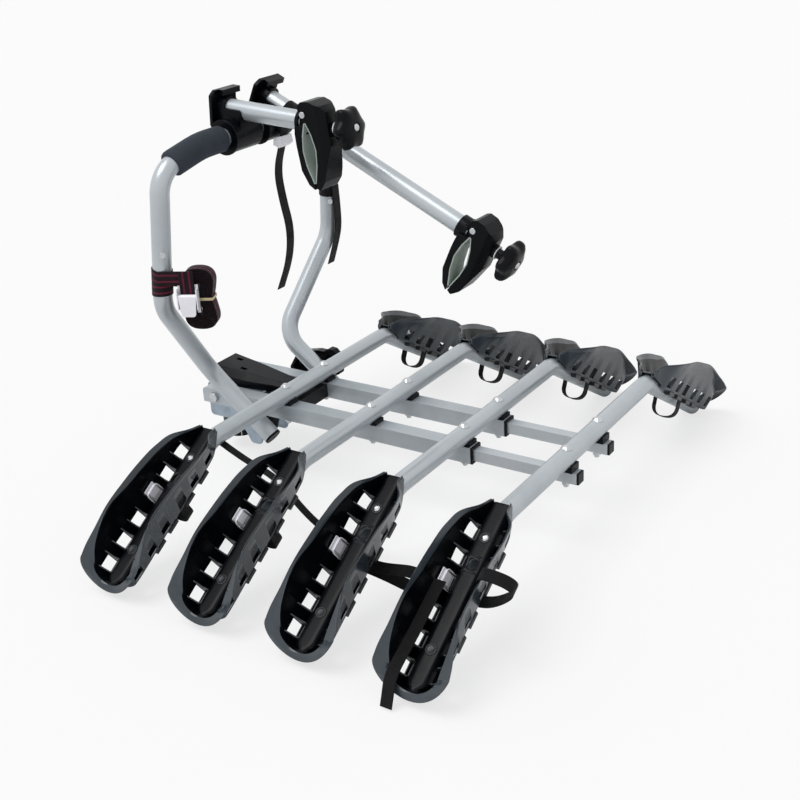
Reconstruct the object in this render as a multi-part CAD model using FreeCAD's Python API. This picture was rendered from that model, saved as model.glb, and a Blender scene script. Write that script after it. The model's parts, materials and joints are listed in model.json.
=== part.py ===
"""Tow-ball bike rack: wheel trays on tilting beams, a folding upright and two clamp arms.

Millimetres, +Z up. The origin is the centre of the tow ball. +X leads away from the car,
+Y along the rails away from the viewer.
"""
import FreeCAD, Part
import math
import os

V = FreeCAD.Vector
ROT = FreeCAD.Rotation

# Rails: four round tubes, bent down at both ends
RAIL_X = 175.5
RAIL_Z = 112.0
RAIL_PITCH = 191.0
RAIL_COUNT = 4
RAIL_R = 16.0
RAIL_WALL = 2.0
RAIL_HALF = 272.0
RAIL_DROP = 31.0
RAIL_END = 285.0
RAIL_BEND = 60.0

# Beams and the carrier for the fourth rail
BEAM_Y = 60.0
BEAM_SIZE = 30.0
BEAM_WALL = 2.0
BEAM_REAR = -20.0
BEAM_FRONT = 577.0
SADDLE_GAP = 1.0
EXT_SIZE = 20.0
EXT_INSERT = 90.0
EXT_OVERHANG = 23.5
BOLT_R = 4.0
BOLT_CLEAR = 0.3

# Tilt pivot and fold pivot
TILT_X = 10.0
TILT_BOLT_R = 5.0
FOLD_X = 130.0
FOLD_Z = 82.0
LEVER_X = 118.0
LEVER_Z = 88.0
RUN_FIT = 0.05

# Hitch
BALL_R = 25.0
SHELL_R = 33.0
BORE_HALF = 24.0
PLATE_IN = 38.0
PLATE_T = 4.0
JAW_SECTOR = 50.0
SPINDLE_R = 6.0
SPINDLE_Z = 14.0

# Upright: one bent tube
UP_R = 16.5
UP_WALL = 2.0
FOOT_Y = 110.5
BAR_X = 100.4
BAR_Z = 585.5
BAR_HALF = 234.1
BAR_FLAT = 130.0
BAR_SEAM = 107.0
GRIP_R = 23.0
GRIP_FIT = 0.3

# Clamp arms: one value per arm
ARM_Y = (-30.0, 60.0)
ARM_DROOP = (4.3, 26.2)
ARM_REACH = (160.0, 451.0)
JAW_TURN = (12.5, 0.0)
SLEEVE_REACH = (20.0, 33.0)
KNOB_DROP = (32.0, 22.0)
ARM_RISE = 42.2
ARM_R = 16.5
ARM_WALL = 2.0
PIN_RISE = 16.5
TUBE_STOP = 12.0
RING_R = 29.0
RING_HALF = 34.0
LIP_T = 5.0
JAW_HALF = 24.0
KNOB_R = 38.0

# Wheel trays: distance outward, bottom half width, bottom height, rim half width, rim height
TRAY_ROWS = (
    (-8.0, 16.0, 10.0, 18.0, 26.0),
    (12.0, 22.0, 2.0, 24.0, 38.0),
    (32.0, 26.0, -4.0, 42.0, 47.0),
    (62.0, 28.0, -4.0, 49.5, 56.0),
    (110.0, 28.0, -4.0, 50.0, 68.0),
    (195.0, 29.0, -4.0, 50.0, 75.0),
    (240.0, 30.0, -4.0, 54.0, 66.0),
    (274.0, 30.0, -3.0, 60.0, 55.0),
    (298.0, 27.0, 5.0, 59.0, 44.0),
    (312.0, 20.0, 14.0, 38.0, 28.0),
    (318.0, 10.0, 17.0, 18.0, 20.0),
)
TRAY_T = 3.0
FLOOR_V = 28.5
RIDGE_HALF = 19.6
RIDGE_TOP = 19.5
WINDOW_U = (46.0, 92.0, 133.0, 185.0, 228.0, 273.0)
WINDOW_L = 22.0
RIB_OFF = 13.5
RIB_T = 2.6
TRAY_SCREW_U = 54.0
TRAY_HOLE_U = 98.0
TRAY_HOLE_R = 10.0
STRAP_U = 133.0
SLOT_V = 24.1
WEB_T = 1.6
WEB_W = 20.0

# Straps: routes are (across or X, height) points of the webbing's middle
HANG_ROUTE = ((-33.6, 30), (-23.3, -2), (-23.3, -44), (23.3, -44), (23.3, -2), (33.6, 30))
LOW_ROUTE = ((-33.6, 30), (-23.3, -2), (-23.3, -20), (10, -24), (46, -36), (72, -50), (100, -52),
             (124, -28), (118, 2), (98, 9), (72, 0), (45, -10), (23.3, -13), (23.3, -2), (33.6, 30))
WIDE_ROUTE = ((-33.6, 30), (-23.3, -2), (-23.3, -20), (0, -28), (30, -22), (62, 6), (90, 40),
              (97, 58), (88, 71), (68, 77), (47, 77), (40.5, 62), (34.2, 36))
TAIL_ROUTE = ((144, 36.6), (172, 37.4), (210, 37.6), (252, 40), (288, 43), (308, 39), (322, 27), (338, 14))
LOOSE_ROUTE = ((177.5, 95.4), (203, 84), (236, 71), (275, 60), (307, 43), (346, 4), (388, -24), (436, -31),
               (480, -22), (512, 8), (535, 50), (549.5, 93.6))
ARM_STRAP_ROUTE = ((141, 593), (131, 557), (111, 501), (118, 446), (130, 391), (121, 333), (93, 271))
LEG_STRAP_ROUTE = ((101.8, 427), (103.5, 382), (103, 340), (91, 302), (77, 264))
LEG_STRAP_Z = 418.0
HANK_TURNS = 6
HANK_PITCH = 2.6
HANK_INNER = 14.0
HANK_STRAIGHT = 25.0
HANK_WAIST = 8.0
HANK_ROUND = 0.79
HANK_S = 62.0
HANK_Z = -39.0
TIE_Z = 385.0
TIE_TURN = 25.8
TIE_W = 25.0

OUT = "parts"
os.makedirs(OUT, exist_ok=True)
SINE = math.sin(math.radians(RAIL_DROP))
COSI = math.cos(math.radians(RAIL_DROP))


def save(name, shape):
    shape.exportStep(os.path.join(OUT, name + ".step"))


def box(x0, x1, y0, y1, z0, z1):
    return Part.makeBox(x1 - x0, y1 - y0, z1 - z0, V(x0, y0, z0))


def rod(start, direction, radius, length):
    return Part.makeCylinder(radius, length, V(*start), V(*direction))


def fuse(shapes):
    first = shapes[0]
    if len(shapes) > 1:
        first = first.multiFuse(shapes[1:])
    return first.removeSplitter()


def rounded_edges(points, radii, closed):
    """Edges of a polyline whose corners are rounded; a radius of 0 keeps the corner."""
    pts = [V(*p) for p in points]
    count = len(pts)
    starts = []
    ends = []
    mids = []
    for i in range(count):
        r = radii[i]
        inner = closed or 0 < i < count - 1
        if not inner or r <= 0:
            starts.append(pts[i])
            ends.append(pts[i])
            mids.append(None)
            continue
        a = (pts[i - 1] - pts[i]).normalize()
        b = (pts[(i + 1) % count] - pts[i]).normalize()
        half = a.getAngle(b) / 2.0
        reach = r / math.tan(half)
        middle = (a + b).normalize()
        centre = pts[i] + middle * (r / math.sin(half))
        starts.append(pts[i] + a * reach)
        ends.append(pts[i] + b * reach)
        mids.append(centre - middle * r)
    edges = []
    for i in range(count):
        if mids[i] is not None:
            edges.append(Part.Arc(starts[i], mids[i], ends[i]).toShape())
        last = i == count - 1
        if last and not closed:
            continue
        j = (i + 1) % count
        if (starts[j] - ends[i]).Length > 1e-6:
            edges.append(Part.LineSegment(ends[i], starts[j]).toShape())
    return edges


def plate_xz(points, y0, y1, radius=0.0):
    """A plate in the XZ plane between two Y values; radius is one value or one per corner."""
    radii = radius if isinstance(radius, (list, tuple)) else [radius] * len(points)
    spots = [(p[0], y0, p[1]) for p in points]
    wire = Part.Wire(rounded_edges(spots, radii, True))
    return Part.Face(wire).extrude(V(0, y1 - y0, 0))


def plate_yz(points, x0, x1, radius=0.0):
    radii = radius if isinstance(radius, (list, tuple)) else [radius] * len(points)
    spots = [(x0, p[0], p[1]) for p in points]
    wire = Part.Wire(rounded_edges(spots, radii, True))
    return Part.Face(wire).extrude(V(x1 - x0, 0, 0))


def plate_xy(points, z0, z1, radius=0.0):
    radii = radius if isinstance(radius, (list, tuple)) else [radius] * len(points)
    spots = [(p[0], p[1], z0) for p in points]
    wire = Part.Wire(rounded_edges(spots, radii, True))
    return Part.Face(wire).extrude(V(0, 0, z1 - z0))


def sweep(points, radii, radius):
    """A round bar along a polyline: cylinders, with a piece of a torus at each corner."""
    pieces = []
    for edge in rounded_edges(points, radii, False):
        start = edge.valueAt(edge.FirstParameter)
        along = edge.tangentAt(edge.FirstParameter)
        if edge.Curve.TypeId == "Part::GeomLine":
            pieces.append(Part.makeCylinder(radius, edge.Length, start, along))
            continue
        ring = Part.Face(Part.Wire([Part.Circle(start, along, radius).toShape()]))
        angle = math.degrees(edge.Length / edge.Curve.Radius)
        pieces.append(ring.revolve(edge.Curve.Center, edge.Curve.Axis, angle))
    return fuse(pieces)


def soft_radii(points, share=0.45):
    """Corner radii of a soft route: each arc takes the same share of its shorter run."""
    pts = [V(p[0], 0, p[-1]) for p in points]
    radii = [0.0]
    for a, b, c in zip(pts, pts[1:], pts[2:]):
        half = (b - a).getAngle(c - b) / 2.0
        radii.append(share * min((b - a).Length, (c - b).Length) / math.tan(half))
    return radii + [0.0]


def turn(shape, spot, axis, angle):
    moved = shape.copy()
    moved.rotate(V(*spot), V(*axis), angle)
    return moved


def shift(shape, x, y, z):
    moved = shape.copy()
    moved.translate(V(x, y, z))
    return moved


def flip_y(shape):
    return shape.mirror(V(0, 0, 0), V(0, 1, 0))


def prism(spot, axis, radius, height, sides=8):
    """A prism with many sides, whose flats stand radius off its axis."""
    corner = radius / math.cos(math.pi / sides)
    turns = [2 * math.pi * (k + 0.5) / sides for k in range(sides)]
    pts = [V(corner * math.cos(a), corner * math.sin(a), 0) for a in turns]
    body = Part.Face(Part.makePolygon(pts + [pts[0]])).extrude(V(0, 0, height))
    body.Placement = FreeCAD.Placement(V(*spot), ROT(V(0, 0, 1), V(*axis)))
    return body


def bolt_head(spot, radius, height, sides=12):
    """A low head with a sloped edge standing on spot, its axis along +Z."""
    rings = []
    for r, z in ((radius, 0.0), (radius, height * 0.4), (radius * 0.5, height)):
        turns = [2 * math.pi * k / sides for k in range(sides)]
        pts = [V(spot[0] + r * math.cos(a), spot[1] + r * math.sin(a), spot[2] + z) for a in turns]
        rings.append(Part.makePolygon(pts + [pts[0]]))
    return Part.makeLoft(rings, True, True)


def hexagon(spot, axis, across, height):
    """A hexagonal prism standing on spot along axis."""
    corner = across / math.sqrt(3.0)
    pts = [V(corner * math.cos(math.radians(60 * i)), corner * math.sin(math.radians(60 * i)), 0)
           for i in range(6)]
    prism = Part.Face(Part.makePolygon(pts + [pts[0]])).extrude(V(0, 0, height))
    prism.Placement = FreeCAD.Placement(V(*spot), ROT(V(0, 0, 1), V(*axis)))
    return prism


def ribbon_sides(points, radii, thick, steps=4):
    """The two long sides of a flat strap, as points half a thickness off its route."""
    left = []
    right = []
    edges = rounded_edges([(p[0], 0.0, p[1]) for p in points], radii, False)
    for edge in edges:
        parts = 1 if edge.Curve.TypeId == "Part::GeomLine" else steps
        stops = parts + (1 if edge is edges[-1] else 0)
        for k in range(stops):
            at = edge.FirstParameter + (edge.LastParameter - edge.FirstParameter) * k / parts
            way = edge.tangentAt(at)
            side = V(-way.z, 0, way.x) * (thick / 2.0)
            left.append(edge.valueAt(at) + side)
            right.append(edge.valueAt(at) - side)
    return left, right


def strap(points, y0, y1, radii=None, thick=WEB_T):
    """Flat webbing whose route lies in the XZ plane, as wide as y1 - y0."""
    left, right = ribbon_sides(points, radii or soft_radii(points), thick)
    ring = left + right[::-1]
    face = Part.Face(Part.makePolygon(ring + [ring[0]]))
    face.translate(V(0, y0, 0))
    return face.extrude(V(0, y1 - y0, 0))


# Derived levels
BEAM_TOP = RAIL_Z - RAIL_R - SADDLE_GAP
BEAM_LOW = BEAM_TOP - BEAM_SIZE
BEAM_MID = BEAM_TOP - BEAM_SIZE / 2.0
BEAM_IN = BEAM_Y - BEAM_SIZE / 2.0
BEAM_OUT = BEAM_Y + BEAM_SIZE / 2.0
RAILS = [RAIL_X + RAIL_PITCH * i for i in range(RAIL_COUNT)]
EXT_TOP = BEAM_MID + EXT_SIZE / 2.0
EXT_END = RAILS[-1] + EXT_OVERHANG
CAP_T = 4.0
HEAD_R = 9.5


# Rails and beams
def make_rail(x):
    end_y = RAIL_HALF + RAIL_END * COSI
    end_z = RAIL_Z - RAIL_END * SINE
    points = [(x, -end_y, end_z), (x, -RAIL_HALF, RAIL_Z), (x, RAIL_HALF, RAIL_Z), (x, end_y, end_z)]
    radii = [0, RAIL_BEND, RAIL_BEND, 0]
    body = sweep(points, radii, RAIL_R).cut(sweep(points, radii, RAIL_R - RAIL_WALL))
    for side in (-1, 1):
        body = body.cut(rod((x, side * BEAM_Y, RAIL_Z - 30), (0, 0, 1), BOLT_R + BOLT_CLEAR, 60))
        for far, cutter, r in ((TRAY_SCREW_U, prism, 2.8), (TRAY_HOLE_U, rod, TRAY_HOLE_R)):
            y = side * (RAIL_HALF + far * COSI)
            z = RAIL_Z - far * SINE
            up = (0, side * SINE, COSI)
            body = body.cut(cutter((x, y, z), up, r, 60))
    return body


def rail_plug(x, side):
    y = side * (RAIL_HALF + RAIL_END * COSI)
    z = RAIL_Z - RAIL_END * SINE
    out = (0, side * COSI, -SINE)
    lip = rod((x, y, z), out, RAIL_R, 3.0)
    stem = rod((x, y - out[1] * 14, z - out[2] * 14), out, RAIL_R - RAIL_WALL, 14.0)
    return fuse([lip, stem])


def make_beam():
    body = box(BEAM_REAR, BEAM_FRONT, BEAM_IN, BEAM_OUT, BEAM_LOW, BEAM_TOP)
    inner = box(BEAM_REAR - 1, BEAM_FRONT + 1, BEAM_IN + BEAM_WALL, BEAM_OUT - BEAM_WALL,
                BEAM_LOW + BEAM_WALL, BEAM_TOP - BEAM_WALL)
    body = body.cut(inner)
    corner = box(BEAM_REAR - 1, BEAM_REAR + 8, BEAM_IN - 1, BEAM_OUT + 1, BEAM_TOP - 8, BEAM_TOP + 1)
    corner = corner.cut(rod((BEAM_REAR + 8, BEAM_IN - 2, BEAM_TOP - 8), (0, 1, 0), 8, BEAM_SIZE + 4))
    body = body.cut(corner)
    for x in RAILS[:-1]:
        body = body.cut(rod((x, BEAM_Y, BEAM_LOW - 5), (0, 0, 1), BOLT_R + BOLT_CLEAR, 60))
    body = body.cut(rod((TILT_X, BEAM_IN - 5, BEAM_MID), (0, 1, 0), TILT_BOLT_R + RUN_FIT, 40))
    body = body.cut(rod((FOLD_X, BEAM_IN - 5, FOLD_Z), (0, 1, 0), BOLT_R + BOLT_CLEAR, 40))
    return body


def square(size, x0, x1):
    half = size / 2.0
    return box(x0, x1, BEAM_Y - half, BEAM_Y + half, BEAM_MID - half, BEAM_MID + half)


def make_collar():
    inner = BEAM_SIZE - 2 * BEAM_WALL
    sleeve = square(inner, BEAM_FRONT - 30, BEAM_FRONT)
    lip = square(BEAM_SIZE, BEAM_FRONT, BEAM_FRONT + CAP_T)
    body = fuse([sleeve, lip]).cut(square(EXT_SIZE, BEAM_FRONT - 40, BEAM_FRONT + 10))
    body = body.cut(rod((RAILS[-2], BEAM_Y, BEAM_LOW - 5), (0, 0, 1), BOLT_R + BOLT_CLEAR, 60))
    inner_stop = square(inner, BEAM_FRONT - EXT_INSERT + 2, BEAM_FRONT - EXT_INSERT + 8)
    inner_stop = inner_stop.cut(square(EXT_SIZE, BEAM_FRONT - EXT_INSERT, BEAM_FRONT))
    return [body, inner_stop]


def make_extension():
    body = square(EXT_SIZE, BEAM_FRONT - EXT_INSERT, EXT_END)
    body = body.cut(square(EXT_SIZE - 4, BEAM_FRONT - EXT_INSERT - 1, EXT_END + 1))
    for x in RAILS[-2:]:
        body = body.cut(rod((x, BEAM_Y, BEAM_LOW - 5), (0, 0, 1), BOLT_R + BOLT_CLEAR, 60))
    return body


def make_saddle(x, floor):
    top = RAIL_Z - RAIL_R + 6.0
    body = box(x - 17, x + 17, BEAM_IN + 2, BEAM_OUT - 2, floor, top)
    body = body.cut(rod((x, BEAM_IN, RAIL_Z), (0, 1, 0), RAIL_R, BEAM_SIZE))
    return body.cut(rod((x, BEAM_Y, floor - 1), (0, 0, 1), BOLT_R + BOLT_CLEAR, 20))


def rail_bolt(x, under):
    top = RAIL_Z + RAIL_R
    head = bolt_head((x, BEAM_Y, top - 4.0), HEAD_R, 8.0)
    head = head.cut(rod((x, BEAM_IN, RAIL_Z), (0, 1, 0), RAIL_R, BEAM_SIZE))
    shank = prism((x, BEAM_Y, under - 12), (0, 0, 1), BOLT_R, top + 1 - under + 12)
    nut = hexagon((x, BEAM_Y, under - 7.0), (0, 0, 1), 13.0, 7.0)
    return fuse([head, shank, nut])


def beam_cap():
    inner = BEAM_SIZE - 2 * BEAM_WALL
    return square(inner, BEAM_REAR, BEAM_REAR + CAP_T).common(
        box(BEAM_REAR, BEAM_REAR + CAP_T, BEAM_IN, BEAM_OUT, BEAM_LOW, BEAM_TOP - 8))


def extension_cap():
    return square(EXT_SIZE, EXT_END, EXT_END + CAP_T)


# Wheel trays, in their own frame: X outward along the tube, Y across, Z off the tube
def hull(rows, inset):
    """A closed trough: rows of four corners joined by flat faces."""
    rings = []
    last = len(rows) - 1
    for i, (u, vb, wb, vr, wr) in enumerate(rows):
        if inset:
            u = u + (inset if i == 0 else 0) - (inset if i == last else 0)
            slope = (vr - vb) / (wr - wb)
            vb = vb + slope * inset - inset * 1.15
            wb = wb + inset
            vr = vr - inset * 1.15 + slope * 12.0
            wr = wr + 12.0
        rings.append([V(u, -vb, wb), V(u, vb, wb), V(u, vr, wr), V(u, -vr, wr)])
    loops = [rings[0], rings[-1]]
    for a, b in zip(rings, rings[1:]):
        loops += [[a[0], a[1], b[1], b[0]], [a[3], a[2], b[2], b[3]]]
        loops += [[a[1], a[2], b[1]], [a[2], b[2], b[1]], [a[0], a[3], b[0]], [a[3], b[3], b[0]]]
    faces = [Part.Face(Part.makePolygon(loop + [loop[0]])) for loop in loops]
    solid = Part.Solid(Part.Shell(faces))
    return solid if solid.Volume > 0 else solid.reversed()


def row_at(u):
    for a, b in zip(TRAY_ROWS, TRAY_ROWS[1:]):
        if a[0] <= u <= b[0]:
            k = (u - a[0]) / (b[0] - a[0])
            return [p + (q - p) * k for p, q in zip(a, b)]
    return list(TRAY_ROWS[-1])


def make_tray():
    shell = hull(TRAY_ROWS, 0).cut(hull(TRAY_ROWS, TRAY_T))
    end_u = TRAY_ROWS[-1][0]
    ridge_pts = [(-RIDGE_HALF, -6), (-RIDGE_HALF, 12), (-12, RIDGE_TOP), (12, RIDGE_TOP),
                 (RIDGE_HALF, 12), (RIDGE_HALF, -6)]
    ridge = plate_yz(ridge_pts, TRAY_ROWS[0][0] + 6, end_u - 14)
    channel = box(-40, RAIL_END + 4, -RAIL_R, RAIL_R, -60, 0)
    channel = channel.fuse(rod((-40, 0, 0), (1, 0, 0), RAIL_R, RAIL_END + 44))
    ribs = []
    for u in [c + s * RIB_OFF - RIB_T / 2 for c in WINDOW_U for s in (-1, 1)]:
        vb, wb, vr, wr = row_at(u)[1:]
        high = min(wr - 12.0, 34.0)
        wide = vb + (vr - vb) * (high - wb) / (wr - wb) - 1.0
        pts = [(-wide, high), (-RIDGE_HALF, RIDGE_TOP - 6), (RIDGE_HALF, RIDGE_TOP - 6), (wide, high),
               (vb - 1, wb + 1), (1 - vb, wb + 1)]
        ribs.append(plate_yz(pts, u, u + RIB_T))
    feet = []
    for u in (58.0, 104.0, 158.0, 198.0):
        for s in (-1, 1):
            y0, y1 = sorted((s * (RAIL_R + 1.5), s * FLOOR_V))
            feet.append(box(u, u + 26.0, y0, y1, -9.0, -1.0))
    body = fuse([shell, ridge] + ribs + feet)
    body = body.cut(channel)
    for u in WINDOW_U:
        for s in (-1, 1):
            y0, y1 = sorted((s * 22.0, s * 70.0))
            body = body.cut(box(u - WINDOW_L / 2, u + WINDOW_L / 2, y0, y1, 3.5, 24.0))
    for s in (-1, 1):
        y0, y1 = sorted((s * (SLOT_V - 2.25), s * (SLOT_V + 2.25)))
        body = body.cut(box(STRAP_U - 12, STRAP_U + 12, y0, y1, -12, 0))
    body = body.cut(prism((TRAY_SCREW_U, 0, 0), (0, 0, 1), 2.8, 40))
    body = body.cut(rod((TRAY_HOLE_U, 0, 0), (0, 0, 1), TRAY_HOLE_R, 40))
    return body.removeSplitter()


def tray_placed(shape, x, side):
    """Moves a shape from the near tray's frame to rail x; side -1 is near, +1 far."""
    moved = shape.copy()
    place = FreeCAD.Placement(FreeCAD.Matrix(0, 1, 0, x,
                                             -COSI, 0, -SINE, -RAIL_HALF,
                                             -SINE, 0, COSI, RAIL_Z,
                                             0, 0, 0, 1))
    moved.Placement = place.multiply(moved.Placement)
    return flip_y(moved) if side > 0 else moved


def across(route):
    """Webbing across a tray, from a route of (across, off the tube) points."""
    band = strap(route, -STRAP_U - WEB_W / 2, -STRAP_U + WEB_W / 2)
    return turn(band, (0, 0, 0), (0, 0, 1), 90)


def tray_tail():
    """The free end of a tray's strap, lying outward along the tray's left side."""
    return strap(TAIL_ROUTE, -36.2, -16.2)


def tray_buckle():
    """Pressed buckle on the strap's left end, its plate along the webbing."""
    a = V(0, HANG_ROUTE[0][0], HANG_ROUTE[0][1])
    b = V(0, HANG_ROUTE[1][0], HANG_ROUTE[1][1])
    way = (b - a).normalize()
    out = V(0, -way.z, way.y)
    parts = []
    for lift, thick, start, length, half in ((0.8, 2.2, -3, 27, 12), (3.0, 3.2, 3, 14, 9)):
        low = a + way * start + out * lift
        pts = [low, low + way * length, low + way * length + out * thick, low + out * thick]
        face = Part.Face(Part.makePolygon(pts + [pts[0]]))
        face.translate(V(STRAP_U - half, 0, 0))
        parts.append(face.extrude(V(2 * half, 0, 0)))
    return fuse(parts)


def tray_screw():
    head = bolt_head((TRAY_SCREW_U, 0, RIDGE_TOP), 5.5, 2.5)
    stem = prism((TRAY_SCREW_U, 0, RAIL_R - 6), (0, 0, 1), 2.5, RIDGE_TOP - RAIL_R + 7)
    return fuse([head, stem])


# Upright
UP_PATH = [
    (174.2, -FOOT_Y, 46.9), (43.6, -FOOT_Y, 152.2), (75.0, -243.2, 327.2), (99.2, -BAR_HALF, 564.4),
    (BAR_X, -BAR_FLAT, BAR_Z), (BAR_X, BAR_FLAT, BAR_Z), (99.2, BAR_HALF, 564.4), (75.0, 243.2, 327.2),
    (43.6, FOOT_Y, 152.2), (174.2, FOOT_Y, 46.9),
]
UP_BENDS = [0, 62, 70, 50, 200, 200, 50, 70, 62, 0]


def make_upright():
    body = sweep(UP_PATH, UP_BENDS, UP_R).cut(sweep(UP_PATH, UP_BENDS, UP_R - UP_WALL))
    for side in (-1, 1):
        start = (FOLD_X, side * FOOT_Y - 30, FOLD_Z)
        body = body.cut(rod(start, (0, 1, 0), BOLT_R + RUN_FIT, 60))
    body = body.cut(rod((LEVER_X, FOOT_Y, LEVER_Z), (0, 1, 0), 3.0, 40))
    bar = body.common(box(0, 300, -BAR_SEAM, BAR_SEAM, BAR_Z - 60, BAR_Z + 60))
    near = body.common(box(-100, 300, -2 * BAR_HALF, -BAR_SEAM, 0, 800))
    far = body.common(box(-100, 300, BAR_SEAM, 2 * BAR_HALF, 0, 800))
    return [bar, near, far]


def make_grip():
    bend = [(99.2, -BAR_HALF, 564.4), (BAR_X, -BAR_FLAT, BAR_Z), (BAR_X, 0, BAR_Z)]
    outer = sweep(bend, [0, 200, 0], GRIP_R)
    outer = outer.common(box(0, 300, -205, -75, 400, 800))
    bore = [UP_PATH[2]] + bend
    return outer.cut(sweep(bore, [0, 50, 200, 0], UP_R + GRIP_FIT))


def foot_plug(side):
    a = V(*UP_PATH[0])
    b = V(*UP_PATH[1])
    out = (a - b).normalize()
    lip = Part.makeCylinder(UP_R, 4.0, a, out)
    stem = Part.makeCylinder(UP_R - UP_WALL, 14.0, a - out * 14.0, out)
    body = fuse([lip, stem])
    return flip_y(body) if side > 0 else body


def leg_rivet(side, along, face):
    """A rivet on the outer face of a leg, a fraction along its upper run."""
    a = V(*UP_PATH[2])
    b = V(*UP_PATH[3])
    spot = a + (b - a) * along
    if side > 0:
        spot = V(spot.x, -spot.y, spot.z)
    way = V(*face).normalize()
    head = Part.makeCylinder(5.5, 3.0, spot + way * (UP_R - 1.0), way)
    lean = (b - a).normalize()
    if side > 0:
        lean = V(lean.x, -lean.y, lean.z)
    tube = Part.makeCylinder(UP_R, 60, spot - lean * 30, lean)
    return head.cut(tube)


def fold_bolt():
    """Near side: bolt, spacer and nut of the upright's fold pivot."""
    head = hexagon((FOLD_X, -FOOT_Y - UP_R - 0.3, FOLD_Z), (0, -1, 0), 13.0, 5.3)
    shank = rod((FOLD_X, -FOOT_Y - UP_R - 1, FOLD_Z), (0, 1, 0), BOLT_R, FOOT_Y + UP_R + 1 - BEAM_IN + 5)
    nut = hexagon((FOLD_X, -BEAM_IN, FOLD_Z), (0, 1, 0), 13.0, 5.0)
    nut = nut.cut(rod((FOLD_X, -BEAM_IN - 1, FOLD_Z), (0, 1, 0), BOLT_R, 8))
    reach = FOOT_Y - UP_R - 0.3 - BEAM_OUT
    spacer = rod((FOLD_X, -BEAM_OUT, FOLD_Z), (0, -1, 0), 12.0, reach)
    spacer = spacer.cut(rod((FOLD_X, -BEAM_OUT + 1, FOLD_Z), (0, -1, 0), BOLT_R, reach + 2))
    return [fuse([head, shank]), nut, spacer]


def make_lever():
    pts = [(26, 60), (54, 104), (104, 115), (120, 115), (132, 123), (144, 122), (154, 112), (158, 94),
           (156, 72), (118, 58)]
    radii = [6, 8, 4, 4, 5, 5, 5, 8, 8, 10]
    y0 = FOOT_Y + UP_R + 8.0
    body = plate_xz(pts, y0, y0 + 15, radii)
    inner = [(36, 65), (58, 99), (106, 109), (148, 109), (150, 74), (118, 64)]
    body = body.cut(plate_xz(inner, y0 - 1, y0 + 10, 4))
    pad = rod((LEVER_X, y0, LEVER_Z), (0, 1, 0), 9, 12)
    body = fuse([body, pad])
    for k in range(5):
        x = 64 + 9 * k
        body = body.cut(box(x, x + 3, y0 + 13.8, y0 + 16, 60, 125))
    return body.cut(rod((LEVER_X, y0 - 1, LEVER_Z), (0, 1, 0), 3 + RUN_FIT, 20))


def lever_pin():
    y0 = FOOT_Y + UP_R + 8.0
    low = FOOT_Y + UP_R - 6.0
    stem = rod((LEVER_X, low, LEVER_Z), (0, 1, 0), 3.0, y0 + 15.6 - low)
    head = rod((LEVER_X, y0 + 15.3, LEVER_Z), (0, 1, 0), 6.0, 2.5)
    return fuse([stem, head])


# Hitch
def make_socket():
    body = rod((0, 0, -BORE_HALF), (0, 0, 1), SHELL_R, BORE_HALF + 38)
    block = box(-24, 30, -PLATE_IN, PLATE_IN, 34, 70)
    body = fuse([body, block])
    cavity = rod((0, 0, -BORE_HALF - 1), (0, 0, 1), BALL_R, 2 * BORE_HALF + 1)
    cap = Part.makeCone(BALL_R, 14, 8, V(0, 0, BORE_HALF))
    body = body.cut(fuse([cavity, cap]))
    wedge = sector(SHELL_R + 12, JAW_SECTOR, -BORE_HALF - 1, BORE_HALF + 0.4)
    body = body.cut(wedge)
    for x in (-12, 16):
        body = body.cut(rod((x, -60, 56), (0, 1, 0), BOLT_R, 120))
    return body


def sector(radius, half, z0, z1):
    """A solid wedge about +X from the Z axis."""
    a = math.radians(half)
    pts = [(0, 0), (radius * 2 * math.cos(a), -radius * 2 * math.sin(a)),
           (radius * 2 * math.cos(a), radius * 2 * math.sin(a))]
    return plate_xy(pts, z0, z1)


def make_jaw():
    ring = rod((0, 0, -BORE_HALF), (0, 0, 1), SHELL_R, 2 * BORE_HALF)
    ring = ring.cut(rod((0, 0, -BORE_HALF - 5), (0, 0, 1), BALL_R, 90))
    body = ring.common(sector(SHELL_R, JAW_SECTOR - 1.5, -BORE_HALF, 40))
    boss = rod((BALL_R + 3, 0, SPINDLE_Z), (1, 0, 0), 10.0, 14.0)
    body = fuse([body, boss])
    return body


def make_handwheel():
    start = BALL_R + 17.3
    spindle = rod((start, 0, SPINDLE_Z), (1, 0, 0), SPINDLE_R, 34)
    hub = rod((start + 26, 0, SPINDLE_Z), (1, 0, 0), 12, 20)
    rim = rod((start + 30, 0, SPINDLE_Z), (1, 0, 0), 27, 14)
    for k in range(6):
        a = math.radians(60 * k)
        spot = (start + 28, 32 * math.sin(a), SPINDLE_Z + 32 * math.cos(a))
        rim = rim.cut(rod(spot, (1, 0, 0), 10, 20))
    return fuse([spindle, hub, rim])


def make_bracket():
    pts = [(-36, 20), (-36, 91), (100, 91), (100, 72), (74, 54), (92, -4), (84, -22), (62, -22), (50, 0), (26, 20)]
    radii = [8, 8, 4, 8, 14, 10, 8, 8, 10, 10]
    near = plate_xz(pts, -PLATE_IN - PLATE_T, -PLATE_IN, radii)
    far = plate_xz(pts, PLATE_IN, PLATE_IN + PLATE_T, radii)
    web = box(-28, 96, -PLATE_IN, PLATE_IN, 91 - PLATE_T, 91)
    nut = box(50, 62, -PLATE_IN, PLATE_IN, SPINDLE_Z - 12, SPINDLE_Z + 12)
    nut = nut.cut(rod((40, 0, SPINDLE_Z), (1, 0, 0), SPINDLE_R + RUN_FIT, 40))
    body = fuse([near, far, web])
    body = body.cut(rod((TILT_X, -60, BEAM_MID), (0, 1, 0), TILT_BOLT_R, 120))
    for x in (-12, 16):
        body = body.cut(rod((x, -60, 56), (0, 1, 0), BOLT_R, 120))
    return [body, nut]


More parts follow.
